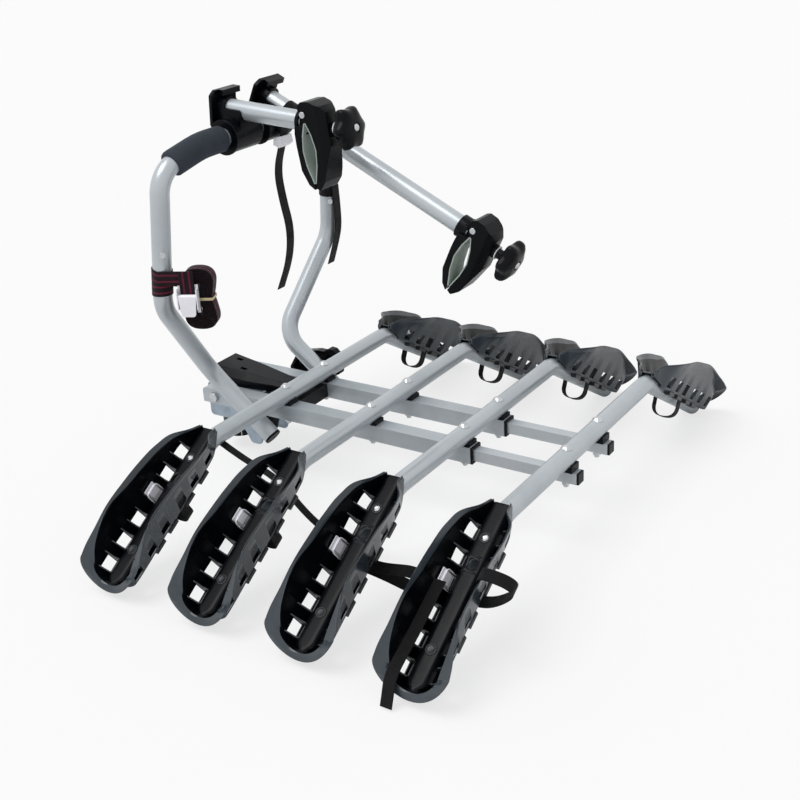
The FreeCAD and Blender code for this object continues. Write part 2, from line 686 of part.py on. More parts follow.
def hitch_bolts():
    parts = []
    reach = BEAM_OUT + 0.3
    shank = rod((TILT_X, -reach - 1, BEAM_MID), (0, 1, 0), TILT_BOLT_R, 2 * reach + 10)
    head = hexagon((TILT_X, -reach, BEAM_MID), (0, -1, 0), 17.0, 6.5)
    parts.append(fuse([shank, head]))
    nut = hexagon((TILT_X, reach, BEAM_MID), (0, 1, 0), 17.0, 7.5)
    parts.append(nut.cut(rod((TILT_X, reach - 1, BEAM_MID), (0, 1, 0), TILT_BOLT_R, 20)))
    wide = PLATE_IN + PLATE_T
    for x in (-12, 16):
        pin = rod((x, -wide, 56), (0, 1, 0), BOLT_R, 2 * wide)
        ends = [rod((x, -wide - 2.2, 56), (0, 1, 0), 7.0, 2.2), rod((x, wide, 56), (0, 1, 0), 7.0, 2.2)]
        parts.append(fuse([pin] + ends))
    return parts


def cover_shell(rows, grow, low):
    wires = []
    for x, half, flank, top, crest in rows:
        h = half - grow
        c = crest - grow
        pts = [V(x, -h, low), V(x, -h, flank - grow), V(x, -c, top - grow), V(x, c, top - grow),
               V(x, h, flank - grow), V(x, h, low)]
        wires.append(Part.makePolygon(pts + [pts[0]]))
    return Part.makeLoft(wires, True, True)


def make_cover():
    rows = ((-38, 32, 100, 106, 24), (-20, 42, 112, 126, 31), (60, 36, 106, 118, 24), (146, 22, 101, 108, 14))
    body = cover_shell(rows, 0, 91)
    inner = [(-34, 32, 100, 106, 24), (-18, 42, 112, 126, 31), (60, 36, 106, 118, 24), (142, 22, 101, 108, 14)]
    body = body.cut(cover_shell(inner, 3.0, 90))
    for x, y in ((-2, 14), (30, -14)):
        body = body.cut(box(x, x + 14, y - 4, y + 4, 110, 150))
    return body


# Clamp arms, in the arm's own frame: X along the arm, Z off it, origin on the crossbar's axis
def arm_placed(shape, i):
    moved = turn(shape, (0, 0, 0), (0, 1, 0), ARM_DROOP[i])
    return shift(moved, BAR_X, ARM_Y[i], BAR_Z)


def jaw_placed(shape, i):
    moved = turn(shape, (0, 0, 0), (0, 1, 0), -JAW_TURN[i])
    return arm_placed(shift(moved, ARM_REACH[i], 0, ARM_RISE + PIN_RISE), i)


def make_band():
    wide = RING_HALF + LIP_T
    body = rod((0, -wide, 0), (0, 1, 0), 20.0, 2 * wide)
    lip = rod((0, -wide, 0), (0, 1, 0), 31.0, LIP_T - 0.3)
    ring = rod((0, RING_HALF + 0.3, 0), (0, 1, 0), 26.0, LIP_T - 0.3)
    body = fuse([body, lip, ring])
    return body.cut(rod((0, -wide - 1, 0), (0, 1, 0), UP_R + 0.3, 2 * wide + 2))


def make_arm_bracket(i):
    ring = rod((0, -RING_HALF, 0), (0, 1, 0), RING_R, 2 * RING_HALF)
    saddle = plate_xz([(-34, 8), (-34, ARM_RISE + 4), (24, ARM_RISE + 4), (24, 8)], -21, 21, [4, 6, 6, 4])
    collar = rod((-27, 0, ARM_RISE), (1, 0, 0), 21.0, 15.0)
    back = plate_yz([(-33, 12), (-33, 67), (-22, 75), (33, 75), (33, 12)], -34, -28, [5, 6, 5, 6, 5])
    hook = box(-34, -18, -14, 33, 70, 75)
    lip = box(-21, -18, -14, 33, 65, 75)
    body = fuse([ring, saddle, collar, back, hook, lip])
    body = body.cut(rod((0, -60, 0), (0, 1, 0), 20.3, 120))
    body = body.cut(rod((-28, 0, ARM_RISE), (1, 0, 0), ARM_R, 80))
    return body


def make_arm_tube(i):
    last = ARM_REACH[i] - TUBE_STOP
    body = rod((-28, 0, ARM_RISE), (1, 0, 0), ARM_R, last + 28)
    return body.cut(rod((-29, 0, ARM_RISE), (1, 0, 0), ARM_R - ARM_WALL, last + 40))


# Jaw outlines in XZ about the pin: the fixed claw on the left, the swinging block on the right
LENS_LEFT = [(0.6, -14), (-7, -34), (-12, -60), (-9.5, -86), (-1.2, -116)]
LENS_RIGHT = [(0.6, -14), (8, -34), (12.4, -60), (8.5, -86), (-0.6, -116)]
PAD_T = 2.2
LUG_HALF = 15.0


def offset_x(points, shift_by):
    return [(p[0] + shift_by, p[1]) for p in points]


def make_claw(i):
    left = offset_x(LENS_LEFT, -PAD_T - 0.2)
    outer = [(-4, -126), (-14, -117), (-24, -92), (-25, -50), (-24, -30), (-21, -17)]
    web = plate_xz(left + outer + [(-8, -17)], -JAW_HALF, JAW_HALF)
    eye = rod((0, -LUG_HALF, 0), (0, 1, 0), 14.0, 2 * LUG_HALF)
    lug = plate_xz([(-20, -34), (-20, 0), (0, 0), (0, -14), (-5, -20), (-6, -34)], -LUG_HALF, LUG_HALF)
    body = fuse([web, lug, eye]).cut(make_pad(LENS_LEFT, -1))
    body = turn(body, (0, 0, 0), (0, 1, 0), -JAW_TURN[i])
    body = shift(body, ARM_REACH[i], 0, ARM_RISE + PIN_RISE)
    x0 = ARM_REACH[i] - SLEEVE_REACH[i]
    sleeve = rod((x0, 0, ARM_RISE), (1, 0, 0), 20.5, SLEEVE_REACH[i] - TUBE_STOP - 2.0)
    body = fuse([body, sleeve])
    body = body.cut(rod((x0 - 60, 0, ARM_RISE), (1, 0, 0), ARM_R, ARM_REACH[i] - TUBE_STOP - x0 + 60))
    pin = rod((ARM_REACH[i], -60, ARM_RISE + PIN_RISE), (0, 1, 0), 3.5, 120)
    return body.cut(pin)


def make_block(i):
    right = offset_x(LENS_RIGHT, PAD_T + 0.2)
    outer = [(-0.4, -124), (8, -128), (21, -114), (40, -58), (41, 0), (33, 10), (15, 20), (0, 21), (-9, 15)]
    radii = [0, 3, 8, 10, 6, 5, 6, 5, 4]
    body = plate_xz(right + outer, -JAW_HALF, JAW_HALF, [0] * len(right) + radii)
    ear = plate_xz([(-9, 15), (-8, 2), (-5, -9), (0, -12), (6, -14), (12, 16)], -JAW_HALF, JAW_HALF,
                   [4, 4, 4, 3, 0, 0])
    plan = [(-40, -JAW_HALF), (27, -JAW_HALF), (43, -13), (43, 13), (27, JAW_HALF), (-40, JAW_HALF)]
    body = fuse([body, ear]).common(plate_xy(plan, -140, 40, [0, 10, 6, 6, 10, 0]))
    room = LUG_HALF + 0.4
    eye_room = rod((0, -room, 0), (0, 1, 0), 15.5, 2 * room)
    body = body.cut(eye_room.fuse(box(-24, 4, -room, room, -38, 0)))
    body = body.cut(rod((0, -60, 0), (0, 1, 0), 3.5 + RUN_FIT, 120))
    boss = rod((38, 0, -KNOB_DROP[i]), (1, 0, 0), 12.0, 8.0)
    body = fuse([body, boss])
    return body.cut(rod((20, 0, -KNOB_DROP[i]), (1, 0, 0), 5.0 + RUN_FIT, 40))


def make_pad(points, sign):
    """Rubber liner along one side of the jaw opening."""
    far = [(p[0] + sign * (PAD_T + 0.2), p[1]) for p in points]
    return plate_xz(points + far[::-1], -JAW_HALF, JAW_HALF)


def make_knob(i):
    z = -KNOB_DROP[i]
    stem = rod((24, 0, z), (1, 0, 0), 5.0, 40)
    neck = rod((46.3, 0, z), (1, 0, 0), 9.0, 18)
    disc = rod((62, 0, z), (1, 0, 0), KNOB_R, 22)
    crown = Part.makeCone(KNOB_R - 4, KNOB_R - 14, 5, V(84, 0, z), V(1, 0, 0))
    disc = fuse([disc, crown])
    for k in range(6):
        a = math.radians(60 * k + 30)
        spot = (60, (KNOB_R + 8) * math.sin(a), z + (KNOB_R + 8) * math.cos(a))
        disc = disc.cut(rod(spot, (1, 0, 0), 13.0, 40))
    return fuse([stem, neck, disc])


def jaw_pin():
    y = JAW_HALF + 0.3
    stem = rod((0, -y, 0), (0, 1, 0), 3.5, 2 * y)
    heads = [rod((0, -y - 1.6, 0), (0, 1, 0), 5.5, 1.6), rod((0, y, 0), (0, 1, 0), 5.5, 1.6)]
    return fuse([stem] + heads)


# Straps
def leg_point(z, side):
    """A point on the axis of a leg's upper run, and the run's direction."""
    a = V(*UP_PATH[2])
    b = V(*UP_PATH[3])
    spot = a + (b - a) * ((z - a.z) / (b.z - a.z))
    way = (b - a).normalize()
    if side > 0:
        spot.y = -spot.y
        way.y = -way.y
    return spot, way


def wrap(spot, way, radius, width):
    """Webbing wound once round a tube."""
    base = spot - way * (width / 2.0)
    band = Part.makeCylinder(radius + WEB_T, width, base, way)
    return band.cut(Part.makeCylinder(radius, width, base, way))


def leg_strap():
    spot, way = leg_point(LEG_STRAP_Z, 1)
    tail = strap(LEG_STRAP_ROUTE, spot.y - 11, spot.y + 11)
    tube = Part.makeCylinder(UP_R, 60, spot - way * 30, way)
    return fuse([wrap(spot, way, UP_R, 22.0), tail]).cut(tube)


def arm_strap():
    band = arm_placed(wrap(V(38, 0, ARM_RISE), V(1, 0, 0), ARM_R, 24.0), 1)
    tail = strap(ARM_STRAP_ROUTE, ARM_Y[1] - 16, ARM_Y[1] + 6)
    bore = arm_placed(rod((0, 0, ARM_RISE), (1, 0, 0), ARM_R, 80), 1)
    return fuse([band, tail.cut(bore)])


def strap_buckle():
    x, z = ARM_STRAP_ROUTE[1]
    y = ARM_Y[1]
    body = plate_xz([(x - 11, z - 6), (x - 8, z + 8), (x + 8, z + 10), (x + 11, z - 4), (x + 2, z - 11)],
                    y - 21, y + 11)
    return body.cut(strap(ARM_STRAP_ROUTE, y - 16.3, y + 6.3, None, WEB_T + 0.6))


def hank_route():
    """A spiral of upright loops, drawn in alike at the waist by a rubber band."""
    points = []
    radii = []
    sides = 2 * HANK_TURNS + 1
    for m in range(sides):
        x = HANK_INNER + HANK_PITCH * m / 2.0
        sign = -1 if m % 2 == 0 else 1
        rise = sign * (HANK_STRAIGHT + HANK_INNER + HANK_PITCH * (m + 0.5) / 2.0)
        before = sign * (HANK_STRAIGHT + HANK_INNER + HANK_PITCH * (m - 0.5) / 2.0)
        bend = HANK_ROUND * (x + HANK_PITCH / 4.0)
        if m > 0:
            points.append((sign * x, before))
            radii.append(HANK_ROUND * (x - HANK_PITCH / 4.0))
        points.append((sign * (x - HANK_WAIST), 0.0))
        radii.append(36.0 if m > 0 else 0)
        if m < sides - 1:
            points.append((sign * x, -rise))
            radii.append(bend)
    return points, radii


def least_gap(points, radii):
    """Least distance between two stretches of the hank that aren't neighbours along it."""
    left, right = ribbon_sides(points, radii, WEB_T)
    skip = 12
    best = 1e9
    for i, p in enumerate(left):
        for j in range(len(right) - 1):
            if abs(i - j) < skip:
                continue
            a, b = right[j], right[j + 1]
            run = b - a
            k = max(0.0, min(1.0, (p - a).dot(run) / max(run.dot(run), 1e-9)))
            best = min(best, (p - (a + run * k)).Length)
    return best


def tie_placed(shape):
    spot = leg_point(TIE_Z, -1)[0]
    return shift(turn(shape, (0, 0, 0), (0, 0, 1), TIE_TURN), spot.x, spot.y, spot.z)


def tie_strap():
    """Striped webbing: two turns round the leg, a run to the buckle and a hank."""
    points, radii = hank_route()
    print("hank least gap %.2f mm" % least_gap(points, radii))
    face_y = UP_R + WEB_T
    hank = strap(points, face_y - 0.6 - TIE_W, face_y - 0.6, radii)
    hank = shift(hank, HANK_S, 0, HANK_Z)
    run = plate_xz([(0, -11), (0, 14), (60, 14), (60, -62), (34, -62), (34, -11)], -face_y, -UP_R,
                   [0, 0, 8, 0, 0, 4])
    back = plate_xz([(0, -24), (0, 0), (44, -2), (44, -26)], UP_R, face_y)
    parts = [tie_placed(hank), tie_placed(run), tie_placed(back)]
    for z in (TIE_Z + 2, TIE_Z - 20):
        spot, way = leg_point(z, -1)
        parts.append(wrap(spot, way, UP_R, 21.0))
    spot, way = leg_point(TIE_Z, -1)
    tube = Part.makeCylinder(UP_R, 200, spot - way * 100, way)
    return fuse(parts).cut(tube)


CAM_Z = -30.0
CAM_Y = -(UP_R + WEB_T + 0.3 + 4.5)


def tie_buckle():
    """Cam buckle's frame: a base plate behind the webbing, two cheeks and the cam's pin."""
    back = -UP_R + 0.3
    base = box(29, 65, back, back + 1.6, CAM_Z - 30, CAM_Z + 20)
    cheeks = [box(x, x + 2.0, CAM_Y - 5, back + 1.6, CAM_Z - 22, CAM_Z + 14) for x in (29, 63)]
    pin = rod((29, CAM_Y, CAM_Z), (1, 0, 0), 2.0, 36)
    return tie_placed(fuse([base] + cheeks + [pin]))


def tie_cam():
    barrel = rod((31.4, CAM_Y, CAM_Z), (1, 0, 0), 4.5, 31.2)
    lever = plate_xz([(31.4, CAM_Z), (62.6, CAM_Z), (59, CAM_Z - 34), (35, CAM_Z - 34)], CAM_Y - 5, CAM_Y - 3, [0, 0, 5, 5])
    body = fuse([barrel, lever])
    return tie_placed(body.cut(rod((20, CAM_Y, CAM_Z), (1, 0, 0), 2.0 + RUN_FIT, 60)))


def rubber_band():
    half = HANK_INNER + HANK_PITCH * HANK_TURNS - HANK_WAIST + WEB_T / 2.0 + 0.4
    top = UP_R + WEB_T - 0.6
    inner = [(HANK_S - half, top - TIE_W), (HANK_S + half, top - TIE_W), (HANK_S + half, top), (HANK_S - half, top)]
    outer = [(HANK_S - half - 2, top - TIE_W - 2), (HANK_S + half + 2, top - TIE_W - 2),
             (HANK_S + half + 2, top + 2), (HANK_S - half - 2, top + 2)]
    body = plate_xy(outer, HANK_Z - 2.5, HANK_Z + 2.5, 3.0).cut(plate_xy(inner, HANK_Z - 3, HANK_Z + 3))
    return tie_placed(body)


# Build
for i, x in enumerate(RAILS):
    save("rail_%d" % (i + 1), make_rail(x))
beam = make_beam()
save("beam_far", beam)
save("beam_near", flip_y(beam))
save("cross_tube", box(166, 192, -BEAM_IN, BEAM_IN, BEAM_LOW + 2, BEAM_TOP - 2).cut(
    box(169, 189, -BEAM_IN - 1, BEAM_IN + 1, BEAM_LOW + 5, BEAM_TOP - 5)))
collars = make_collar()
save("beam_collars", Part.makeCompound(collars + [flip_y(s) for s in collars]))
extension = make_extension()
save("extension_tubes", Part.makeCompound([extension, flip_y(extension)]))

plugs = [rail_plug(x, s) for x in RAILS for s in (-1, 1)]
caps = [beam_cap(), extension_cap()]
save("end_plugs", Part.makeCompound(plugs + caps + [flip_y(s) for s in caps]))
saddles = []
fixings = []
for i, x in enumerate(RAILS):
    fourth = i == RAIL_COUNT - 1
    saddles.append(make_saddle(x, EXT_TOP if fourth else BEAM_TOP))
    fixings.append(rail_bolt(x, BEAM_MID - EXT_SIZE / 2.0 if fourth else BEAM_LOW))
save("rail_saddles", Part.makeCompound(saddles + [flip_y(s) for s in saddles]))
save("rail_fixings", Part.makeCompound(fixings + [flip_y(s) for s in fixings]))

tray = make_tray()
screw = tray_screw()
screws = []
for i, x in enumerate(RAILS):
    for side, word in ((-1, "near"), (1, "far")):
        save("tray_%d_%s" % (i + 1, word), tray_placed(tray, x, side))
        screws.append(tray_placed(screw, x, side))
save("tray_screws", Part.makeCompound(screws))
hang = across(HANG_ROUTE)
straps = []
buckles = []
for i, x in enumerate(RAILS):
    near = {2: across(LOW_ROUTE), 3: across(WIDE_ROUTE)}.get(i, hang)
    straps += [tray_placed(hang, x, 1), tray_placed(near, x, -1)]
    buckles += [tray_placed(tray_buckle(), x, s) for s in (-1, 1)]
straps.append(tray_placed(tray_tail(), RAILS[-1], -1))
straps.append(strap(LOOSE_ROUTE, -258.0, -242.0))
save("tray_straps", Part.makeCompound(straps))
save("tray_buckles", Part.makeCompound(buckles))

bolts = fold_bolt()
save("pivot_bolts", Part.makeCompound(bolts + [flip_y(s) for s in bolts]))
save("upright_frame", Part.makeCompound(make_upright()))
save("grip", make_grip())
save("upright_plugs", Part.makeCompound([foot_plug(-1), foot_plug(1)]))
save("upright_rivets", Part.makeCompound([leg_rivet(-1, 0.42, (1, -0.9, 0)), leg_rivet(1, 0.29, (1, -0.9, 0))]))
save("lock_lever", make_lever())
save("lever_pin", lever_pin())

save("hitch_bracket", Part.makeCompound(make_bracket()))
save("ball_socket", make_socket())
save("hitch_bolts", Part.makeCompound(hitch_bolts()))
save("hitch_cover", make_cover())
save("clamp_jaw", make_jaw())
save("handwheel", make_handwheel())

for i in (0, 1):
    tag = "_%d" % (i + 1)
    save("arm_band" + tag, arm_placed(make_band(), i))
    save("arm_bracket" + tag, arm_placed(make_arm_bracket(i), i))
    save("arm_tube" + tag, arm_placed(make_arm_tube(i), i))
    save("jaw_claw" + tag, arm_placed(make_claw(i), i))
    save("jaw_pin" + tag, jaw_placed(jaw_pin(), i))
    save("claw_pad" + tag, jaw_placed(make_pad(LENS_LEFT, -1), i))
    save("jaw_block" + tag, jaw_placed(make_block(i), i))
    save("block_pad" + tag, jaw_placed(make_pad(LENS_RIGHT, 1), i))
    save("jaw_knob" + tag, jaw_placed(make_knob(i), i))
save("arm_strap", arm_strap())
save("strap_buckle", strap_buckle())
tie = tie_strap()
save("leg_straps", Part.makeCompound([tie, leg_strap()]))
save("tie_buckle", tie_buckle())
save("tie_cam", tie_cam())
save("rubber_band", rubber_band())
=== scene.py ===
"""Blender scene of the tow-ball bike rack.

The trays, the upright and its grip, the knobs, the handwheel and all the webbing are made anew over the
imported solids. Every other node is copied with rounded edges. Lengths are in millimetres and become metres
when a mesh is made. +X runs from the tow ball to the free end, +Y along the rails and +Z up.
"""
import json
import math
import bmesh
import bpy
import numpy as np
from mathutils import Euler, Matrix, Vector


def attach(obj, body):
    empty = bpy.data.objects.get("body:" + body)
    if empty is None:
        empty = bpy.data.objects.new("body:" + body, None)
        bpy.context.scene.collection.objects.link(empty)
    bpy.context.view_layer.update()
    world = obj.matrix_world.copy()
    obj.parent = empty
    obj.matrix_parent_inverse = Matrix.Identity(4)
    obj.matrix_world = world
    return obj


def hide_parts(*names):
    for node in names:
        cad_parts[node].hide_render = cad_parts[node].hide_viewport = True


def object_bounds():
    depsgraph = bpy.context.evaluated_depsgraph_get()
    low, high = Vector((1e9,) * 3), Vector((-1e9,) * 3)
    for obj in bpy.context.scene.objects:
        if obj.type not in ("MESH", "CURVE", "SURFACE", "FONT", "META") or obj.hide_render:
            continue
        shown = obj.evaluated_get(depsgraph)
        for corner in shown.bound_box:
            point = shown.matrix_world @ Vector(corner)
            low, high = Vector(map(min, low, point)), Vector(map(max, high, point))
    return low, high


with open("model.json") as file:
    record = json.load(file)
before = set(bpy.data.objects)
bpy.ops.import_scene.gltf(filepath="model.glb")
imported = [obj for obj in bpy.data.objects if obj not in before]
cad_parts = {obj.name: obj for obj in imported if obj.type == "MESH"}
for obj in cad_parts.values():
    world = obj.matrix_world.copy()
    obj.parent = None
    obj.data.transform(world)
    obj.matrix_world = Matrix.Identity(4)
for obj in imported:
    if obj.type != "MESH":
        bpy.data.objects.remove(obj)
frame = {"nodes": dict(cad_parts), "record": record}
CAD_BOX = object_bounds()
BODY_OF = {n: b for b, nodes in frame["record"]["behaviour"]["bodies"].items() for n in nodes}
SLOT_OF = {s["node"]: s["material_slot"] for s in frame["record"]["subparts"]}
MM = 0.001

# Rails and the bend of their ends
RAIL_FIRST = 175.5
RAIL_PITCH = 191.0
RAILS = tuple(RAIL_FIRST + RAIL_PITCH * n for n in range(4))
RAIL_Z = 112.0
RAIL_HALF = 272.0
DROP_S = math.sin(math.radians(31.0))
DROP_C = math.cos(math.radians(31.0))

# Upright: the far half of its route, from the foot to the top bar, and the radius of each bend
UP_R = 16.5
BAR_X = 100.4
BAR_Z = 585.5
UP_HALF = [(174.2, 110.5, 46.9), (43.6, 110.5, 152.2), (75.0, 243.2, 327.2),
           (99.2, 234.1, 564.4), (BAR_X, 130.0, BAR_Z)]
UP_PATH = [(x, -y, z) for x, y, z in UP_HALF] + UP_HALF[::-1]
UP_BENDS = [0, 62, 70, 50, 200, 200, 50, 70, 62, 0]
ARC_STEP = 0.06

# Arms on the top bar, first the short one; angles in degrees
ARM_Y = (-30.0, 60.0)
ARM_DROOP = (4.3, 26.2)
ARM_REACH = (160.0, 451.0)
ARM_RISE = 42.2
JAW_LIFT = 16.5
JAW_TURN = (12.5, 0.0)
KNOB_DROP = (32.0, 22.0)

# Webbing
WEB_T = 1.6
TRAY_WEB_W = 20.0
LOOSE_WEB_W = 16.0
LEG_WEB_W = 22.0
TIE_W = 25.0
WRAP_R = UP_R + 0.9
TIE_TURN = math.radians(25.8)
TIE_SPOT = np.array([80.90, -240.98, 385.0])


# Mesh helpers
def unit(vectors):
    return vectors / np.maximum(np.linalg.norm(vectors, axis=-1, keepdims=True), 1e-12)


def make_object(name, verts, faces, uv=None, smooth=True):
    """Object from vertices in mm; uv holds one pair per vertex, in metres."""
    mesh = bpy.data.meshes.new(name)
    mesh.from_pydata((np.asarray(verts, float) * MM).tolist(), [], faces)
    mesh.update()
    if uv is not None:
        layer = mesh.uv_layers.new(name="strap")
        corner = np.empty(len(mesh.loops), dtype=np.int32)
        mesh.loops.foreach_get("vertex_index", corner)
        layer.data.foreach_set("uv", np.asarray(uv, np.float32)[corner].ravel())
    mesh.polygons.foreach_set("use_smooth", np.full(len(mesh.polygons), smooth))
    obj = bpy.data.objects.new(name, mesh)
    bpy.context.scene.collection.objects.link(obj)
    return obj


def grid_faces(rows, cols, wrap, keep=None, flip=False, caps=False):
    """Quads of a grid of rows x cols points; wrap joins the last column to the first, keep masks cells."""
    index = np.arange(rows * cols).reshape(rows, cols)
    left = index if wrap else index[:, :-1]
    right = np.roll(index, -1, axis=1) if wrap else index[:, 1:]
    quads = np.stack([left[:-1], right[:-1], right[1:], left[1:]], axis=-1)
    quads = quads[keep] if keep is not None else quads.reshape(-1, 4)
    if flip:
        quads = quads[:, ::-1]
    faces = quads.tolist()
    if caps:
        faces += [index[0][::-1].tolist(), index[-1].tolist()]
    return faces


def grid_object(name, points, wrap=False, keep=None, flip=False, caps=False, uv=None):
    rows, cols = points.shape[:2]
    flat_uv = None if uv is None else uv.reshape(-1, 2)
    return make_object(name, points.reshape(-1, 3), grid_faces(rows, cols, wrap, keep, flip, caps), flat_uv)


def outward(obj):
    """Turns the faces of a closed piece outwards."""
    bm = bmesh.new()
    bm.from_mesh(obj.data)
    bmesh.ops.recalc_face_normals(bm, faces=bm.faces)
    bm.to_mesh(obj.data)
    bm.free()
    return obj


def merge(obj, distance=2e-6):
    """Joins vertices that are within a distance, in metres."""
    bm = bmesh.new()
    bm.from_mesh(obj.data)
    bmesh.ops.remove_doubles(bm, verts=bm.verts, dist=distance)
    bm.to_mesh(obj.data)
    bm.free()


def joined(name, parts):
    """One object out of several; it keeps the material indices of their faces."""
    bm = bmesh.new()
    for part in parts:
        bm.from_mesh(part.data)
    mesh = parts[0].data
    bm.to_mesh(mesh)
    bm.free()
    for part in parts[1:]:
        data = part.data
        bpy.data.objects.remove(part)
        bpy.data.meshes.remove(data)
    parts[0].name = name
    mesh.name = name
    return parts[0]


def bevelled(obj, width, segments=2, angle=35.0):
    mod = obj.modifiers.new("edges", "BEVEL")
    mod.width = width * MM
    mod.segments = segments
    mod.limit_method = "ANGLE"
    mod.angle_limit = math.radians(angle)
    mod.harden_normals = False
    mod.use_clamp_overlap = True
    return obj


def sharpened(obj, angle=35.0):
    obj.data.set_sharp_from_angle(angle=math.radians(angle))
    return obj


# Lines and the forms that follow them
def lengths_along(points):
    """Distance of each point from the first, along the line."""
    return np.concatenate([[0.0], np.cumsum(np.linalg.norm(np.diff(points, axis=0), axis=1))])


def soften(points, rounds, closed=False):
    """Cuts the corners of a route: each round puts points at 1/4 and 3/4 of every run."""
    pts = np.asarray(points, float)
    for _ in range(rounds):
        nxt = np.roll(pts, -1, axis=0) if closed else pts[1:]
        cur = pts if closed else pts[:-1]
        cut = np.stack([0.75 * cur + 0.25 * nxt, 0.25 * cur + 0.75 * nxt], axis=1).reshape(-1, pts.shape[1])
        pts = cut if closed else np.vstack([pts[:1], cut, pts[-1:]])
    return pts


def respaced(points, step):
    """The same line with points about step apart."""
    run = lengths_along(points)
    at = np.linspace(0.0, run[-1], max(int(run[-1] / step), 2) + 1)
    return np.stack([np.interp(at, run, points[:, k]) for k in range(points.shape[1])], axis=1)


def bent_line(points, radii):
    """Straight runs joined by true arcs, with points about ARC_STEP apart on an arc, in radians.

    A point on an arc is centre + radius (first cos t + second sin t), with t from 0 to the arc's sweep.
    """
    pts = np.asarray(points, float)
    out = [pts[0]]
    for k in range(1, len(pts) - 1):
        a = unit(pts[k - 1] - pts[k])
        b = unit(pts[k + 1] - pts[k])
        half = math.acos(float(np.clip(a @ b, -1, 1))) / 2.0
        centre = pts[k] + unit(a + b) * radii[k] / math.sin(half)
        start = pts[k] + a * radii[k] / math.tan(half)
        sweep = math.pi - 2.0 * half
        first = unit(start - centre)
        second = -a
        turns = np.linspace(0.0, sweep, max(int(sweep / ARC_STEP), 2) + 1)[:, None]
        out.extend(centre + radii[k] * (first * np.cos(turns) + second * np.sin(turns)))
    out.append(pts[-1])
    return np.array(out)


def framed(path, first_side):
    """Side vectors carried along a path without twist."""
    side = np.asarray(first_side, float)
    out = []
    for tangent in unit(np.gradient(path, axis=0)):
        side = unit(side - tangent * (side @ tangent))
        out.append(side)
    return np.array(out)


def swept(name, path, section, side, closed=False):
    """A closed cross-section carried along a path.

    section holds (across, off) pairs in mm: a point is path + across side + off (side x tangent).
    """
    path = np.asarray(path, float)
    if closed:
        tangent = unit(np.roll(path, -1, axis=0) - np.roll(path, 1, axis=0))
    else:
        tangent = unit(np.gradient(path, axis=0))
    side = np.broadcast_to(np.asarray(side, float), path.shape)
    side = unit(side - tangent * np.sum(side * tangent, axis=1, keepdims=True))
    off = np.cross(side, tangent)
    section = np.asarray(section, float)
    points = path[:, None] + side[:, None] * section[None, :, :1] + off[:, None] * section[None, :, 1:]
    if closed:
        points = np.concatenate([points, points[:1]], axis=0)
    run = lengths_along(points.mean(1))
    uv = np.stack(np.broadcast_arrays(run[:, None] * MM, section[None, :, 0] * MM), axis=-1)
    obj = grid_object(name, points, wrap=True, caps=not closed, uv=uv)
    if closed:
        merge(obj)
    return outward(obj)


def circle(radius, count):
    turn = np.linspace(0.0, 2 * math.pi, count, endpoint=False)
    return np.stack([radius * np.cos(turn), radius * np.sin(turn)], axis=1)


def band_section(width, thick):
    """Flat webbing with rounded selvedges, as (across, off) pairs."""
    w, t = width / 2.0, thick / 2.0
    half = [(-w, 0), (-w + 0.25, t * 0.7), (-w + 0.9, t)]
    half += [(x, t) for x in np.linspace(-w + 2.5, w - 2.5, 7)]
    half += [(w - 0.9, t), (w - 0.25, t * 0.7), (w, 0)]
    back = [(x, -z) for x, z in half[1:-1]][::-1]
    return np.array(half + back)[::-1]


def ribbon(name, route, width, side, place=None, thick=WEB_T, rounds=3, step=2.5, closed=False):
    """Webbing along a softened route; place maps a route in a piece's own frame to the rack."""
    path = soften(route, rounds, closed)
    path = respaced(np.vstack([path, path[:1]]) if closed else path, step)
    if closed:
        path = path[:-1]
    if place is not None:
        side = place(np.asarray(side, float)) - place(np.zeros(3))
        path = place(path)
    return swept(name, path, band_section(width, thick), side, closed)


def with_axis(pairs, axis, value):
    """Points in space from pairs, with a fixed value put in at one axis."""
    return np.insert(np.asarray(pairs, float), axis, value, axis=1)


def turned(name, profile, origin, axis, count, lobes=0, depth=0.0, power=1.0, place=None):
    """A profile of (along, radius) pairs turned about an axis.

    Lobes notch the rim: the radius r becomes r (1 - depth (r / widest)^2 (0.5 + 0.5 cos(lobes t))^power).
    """
    prof = np.asarray(profile, float)
    turn = np.linspace(0.0, 2 * math.pi, count, endpoint=False)
    axis = unit(np.asarray(axis, float))
    helper = np.array([0.0, 1.0, 0.0]) if abs(axis[1]) < 0.9 else np.array([1.0, 0.0, 0.0])
    a = unit(np.cross(helper, axis))
    b = np.cross(axis, a)
    notch = depth * (0.5 + 0.5 * np.cos(lobes * turn)) ** power
    weight = (prof[:, 1:2] / prof[:, 1].max()) ** 2
    radius = prof[:, 1:2] * (1.0 - notch[None] * weight)
    ring = a[None, None] * np.cos(turn)[None, :, None] + b[None, None] * np.sin(turn)[None, :, None]
    points = np.asarray(origin, float) + axis * prof[:, :1, None] + ring * radius[:, :, None]
    if place is not None:
        points = place(points)
    return outward(grid_object(name, points, wrap=True, caps=True))


def prisms(name, outlines, depth, place):
    """Plates: each outline is a list of (u, v, w) corners, pushed along u by depth, then placed."""
    verts = []
    faces = []
    for outline in outlines:
        pts = np.asarray(outline, float)
        count = len(pts)
        base = len(verts)
        verts.extend(pts)
        verts.extend(pts + np.array([depth, 0.0, 0.0]))
        ring = base + np.arange(count)
        nxt = np.roll(ring, -1)
        faces += [ring.tolist(), (ring[::-1] + count).tolist()]
        faces += np.stack([nxt, ring, ring + count, nxt + count], axis=1).tolist()
    return outward(make_object(name, place(np.array(verts)), faces, smooth=False))


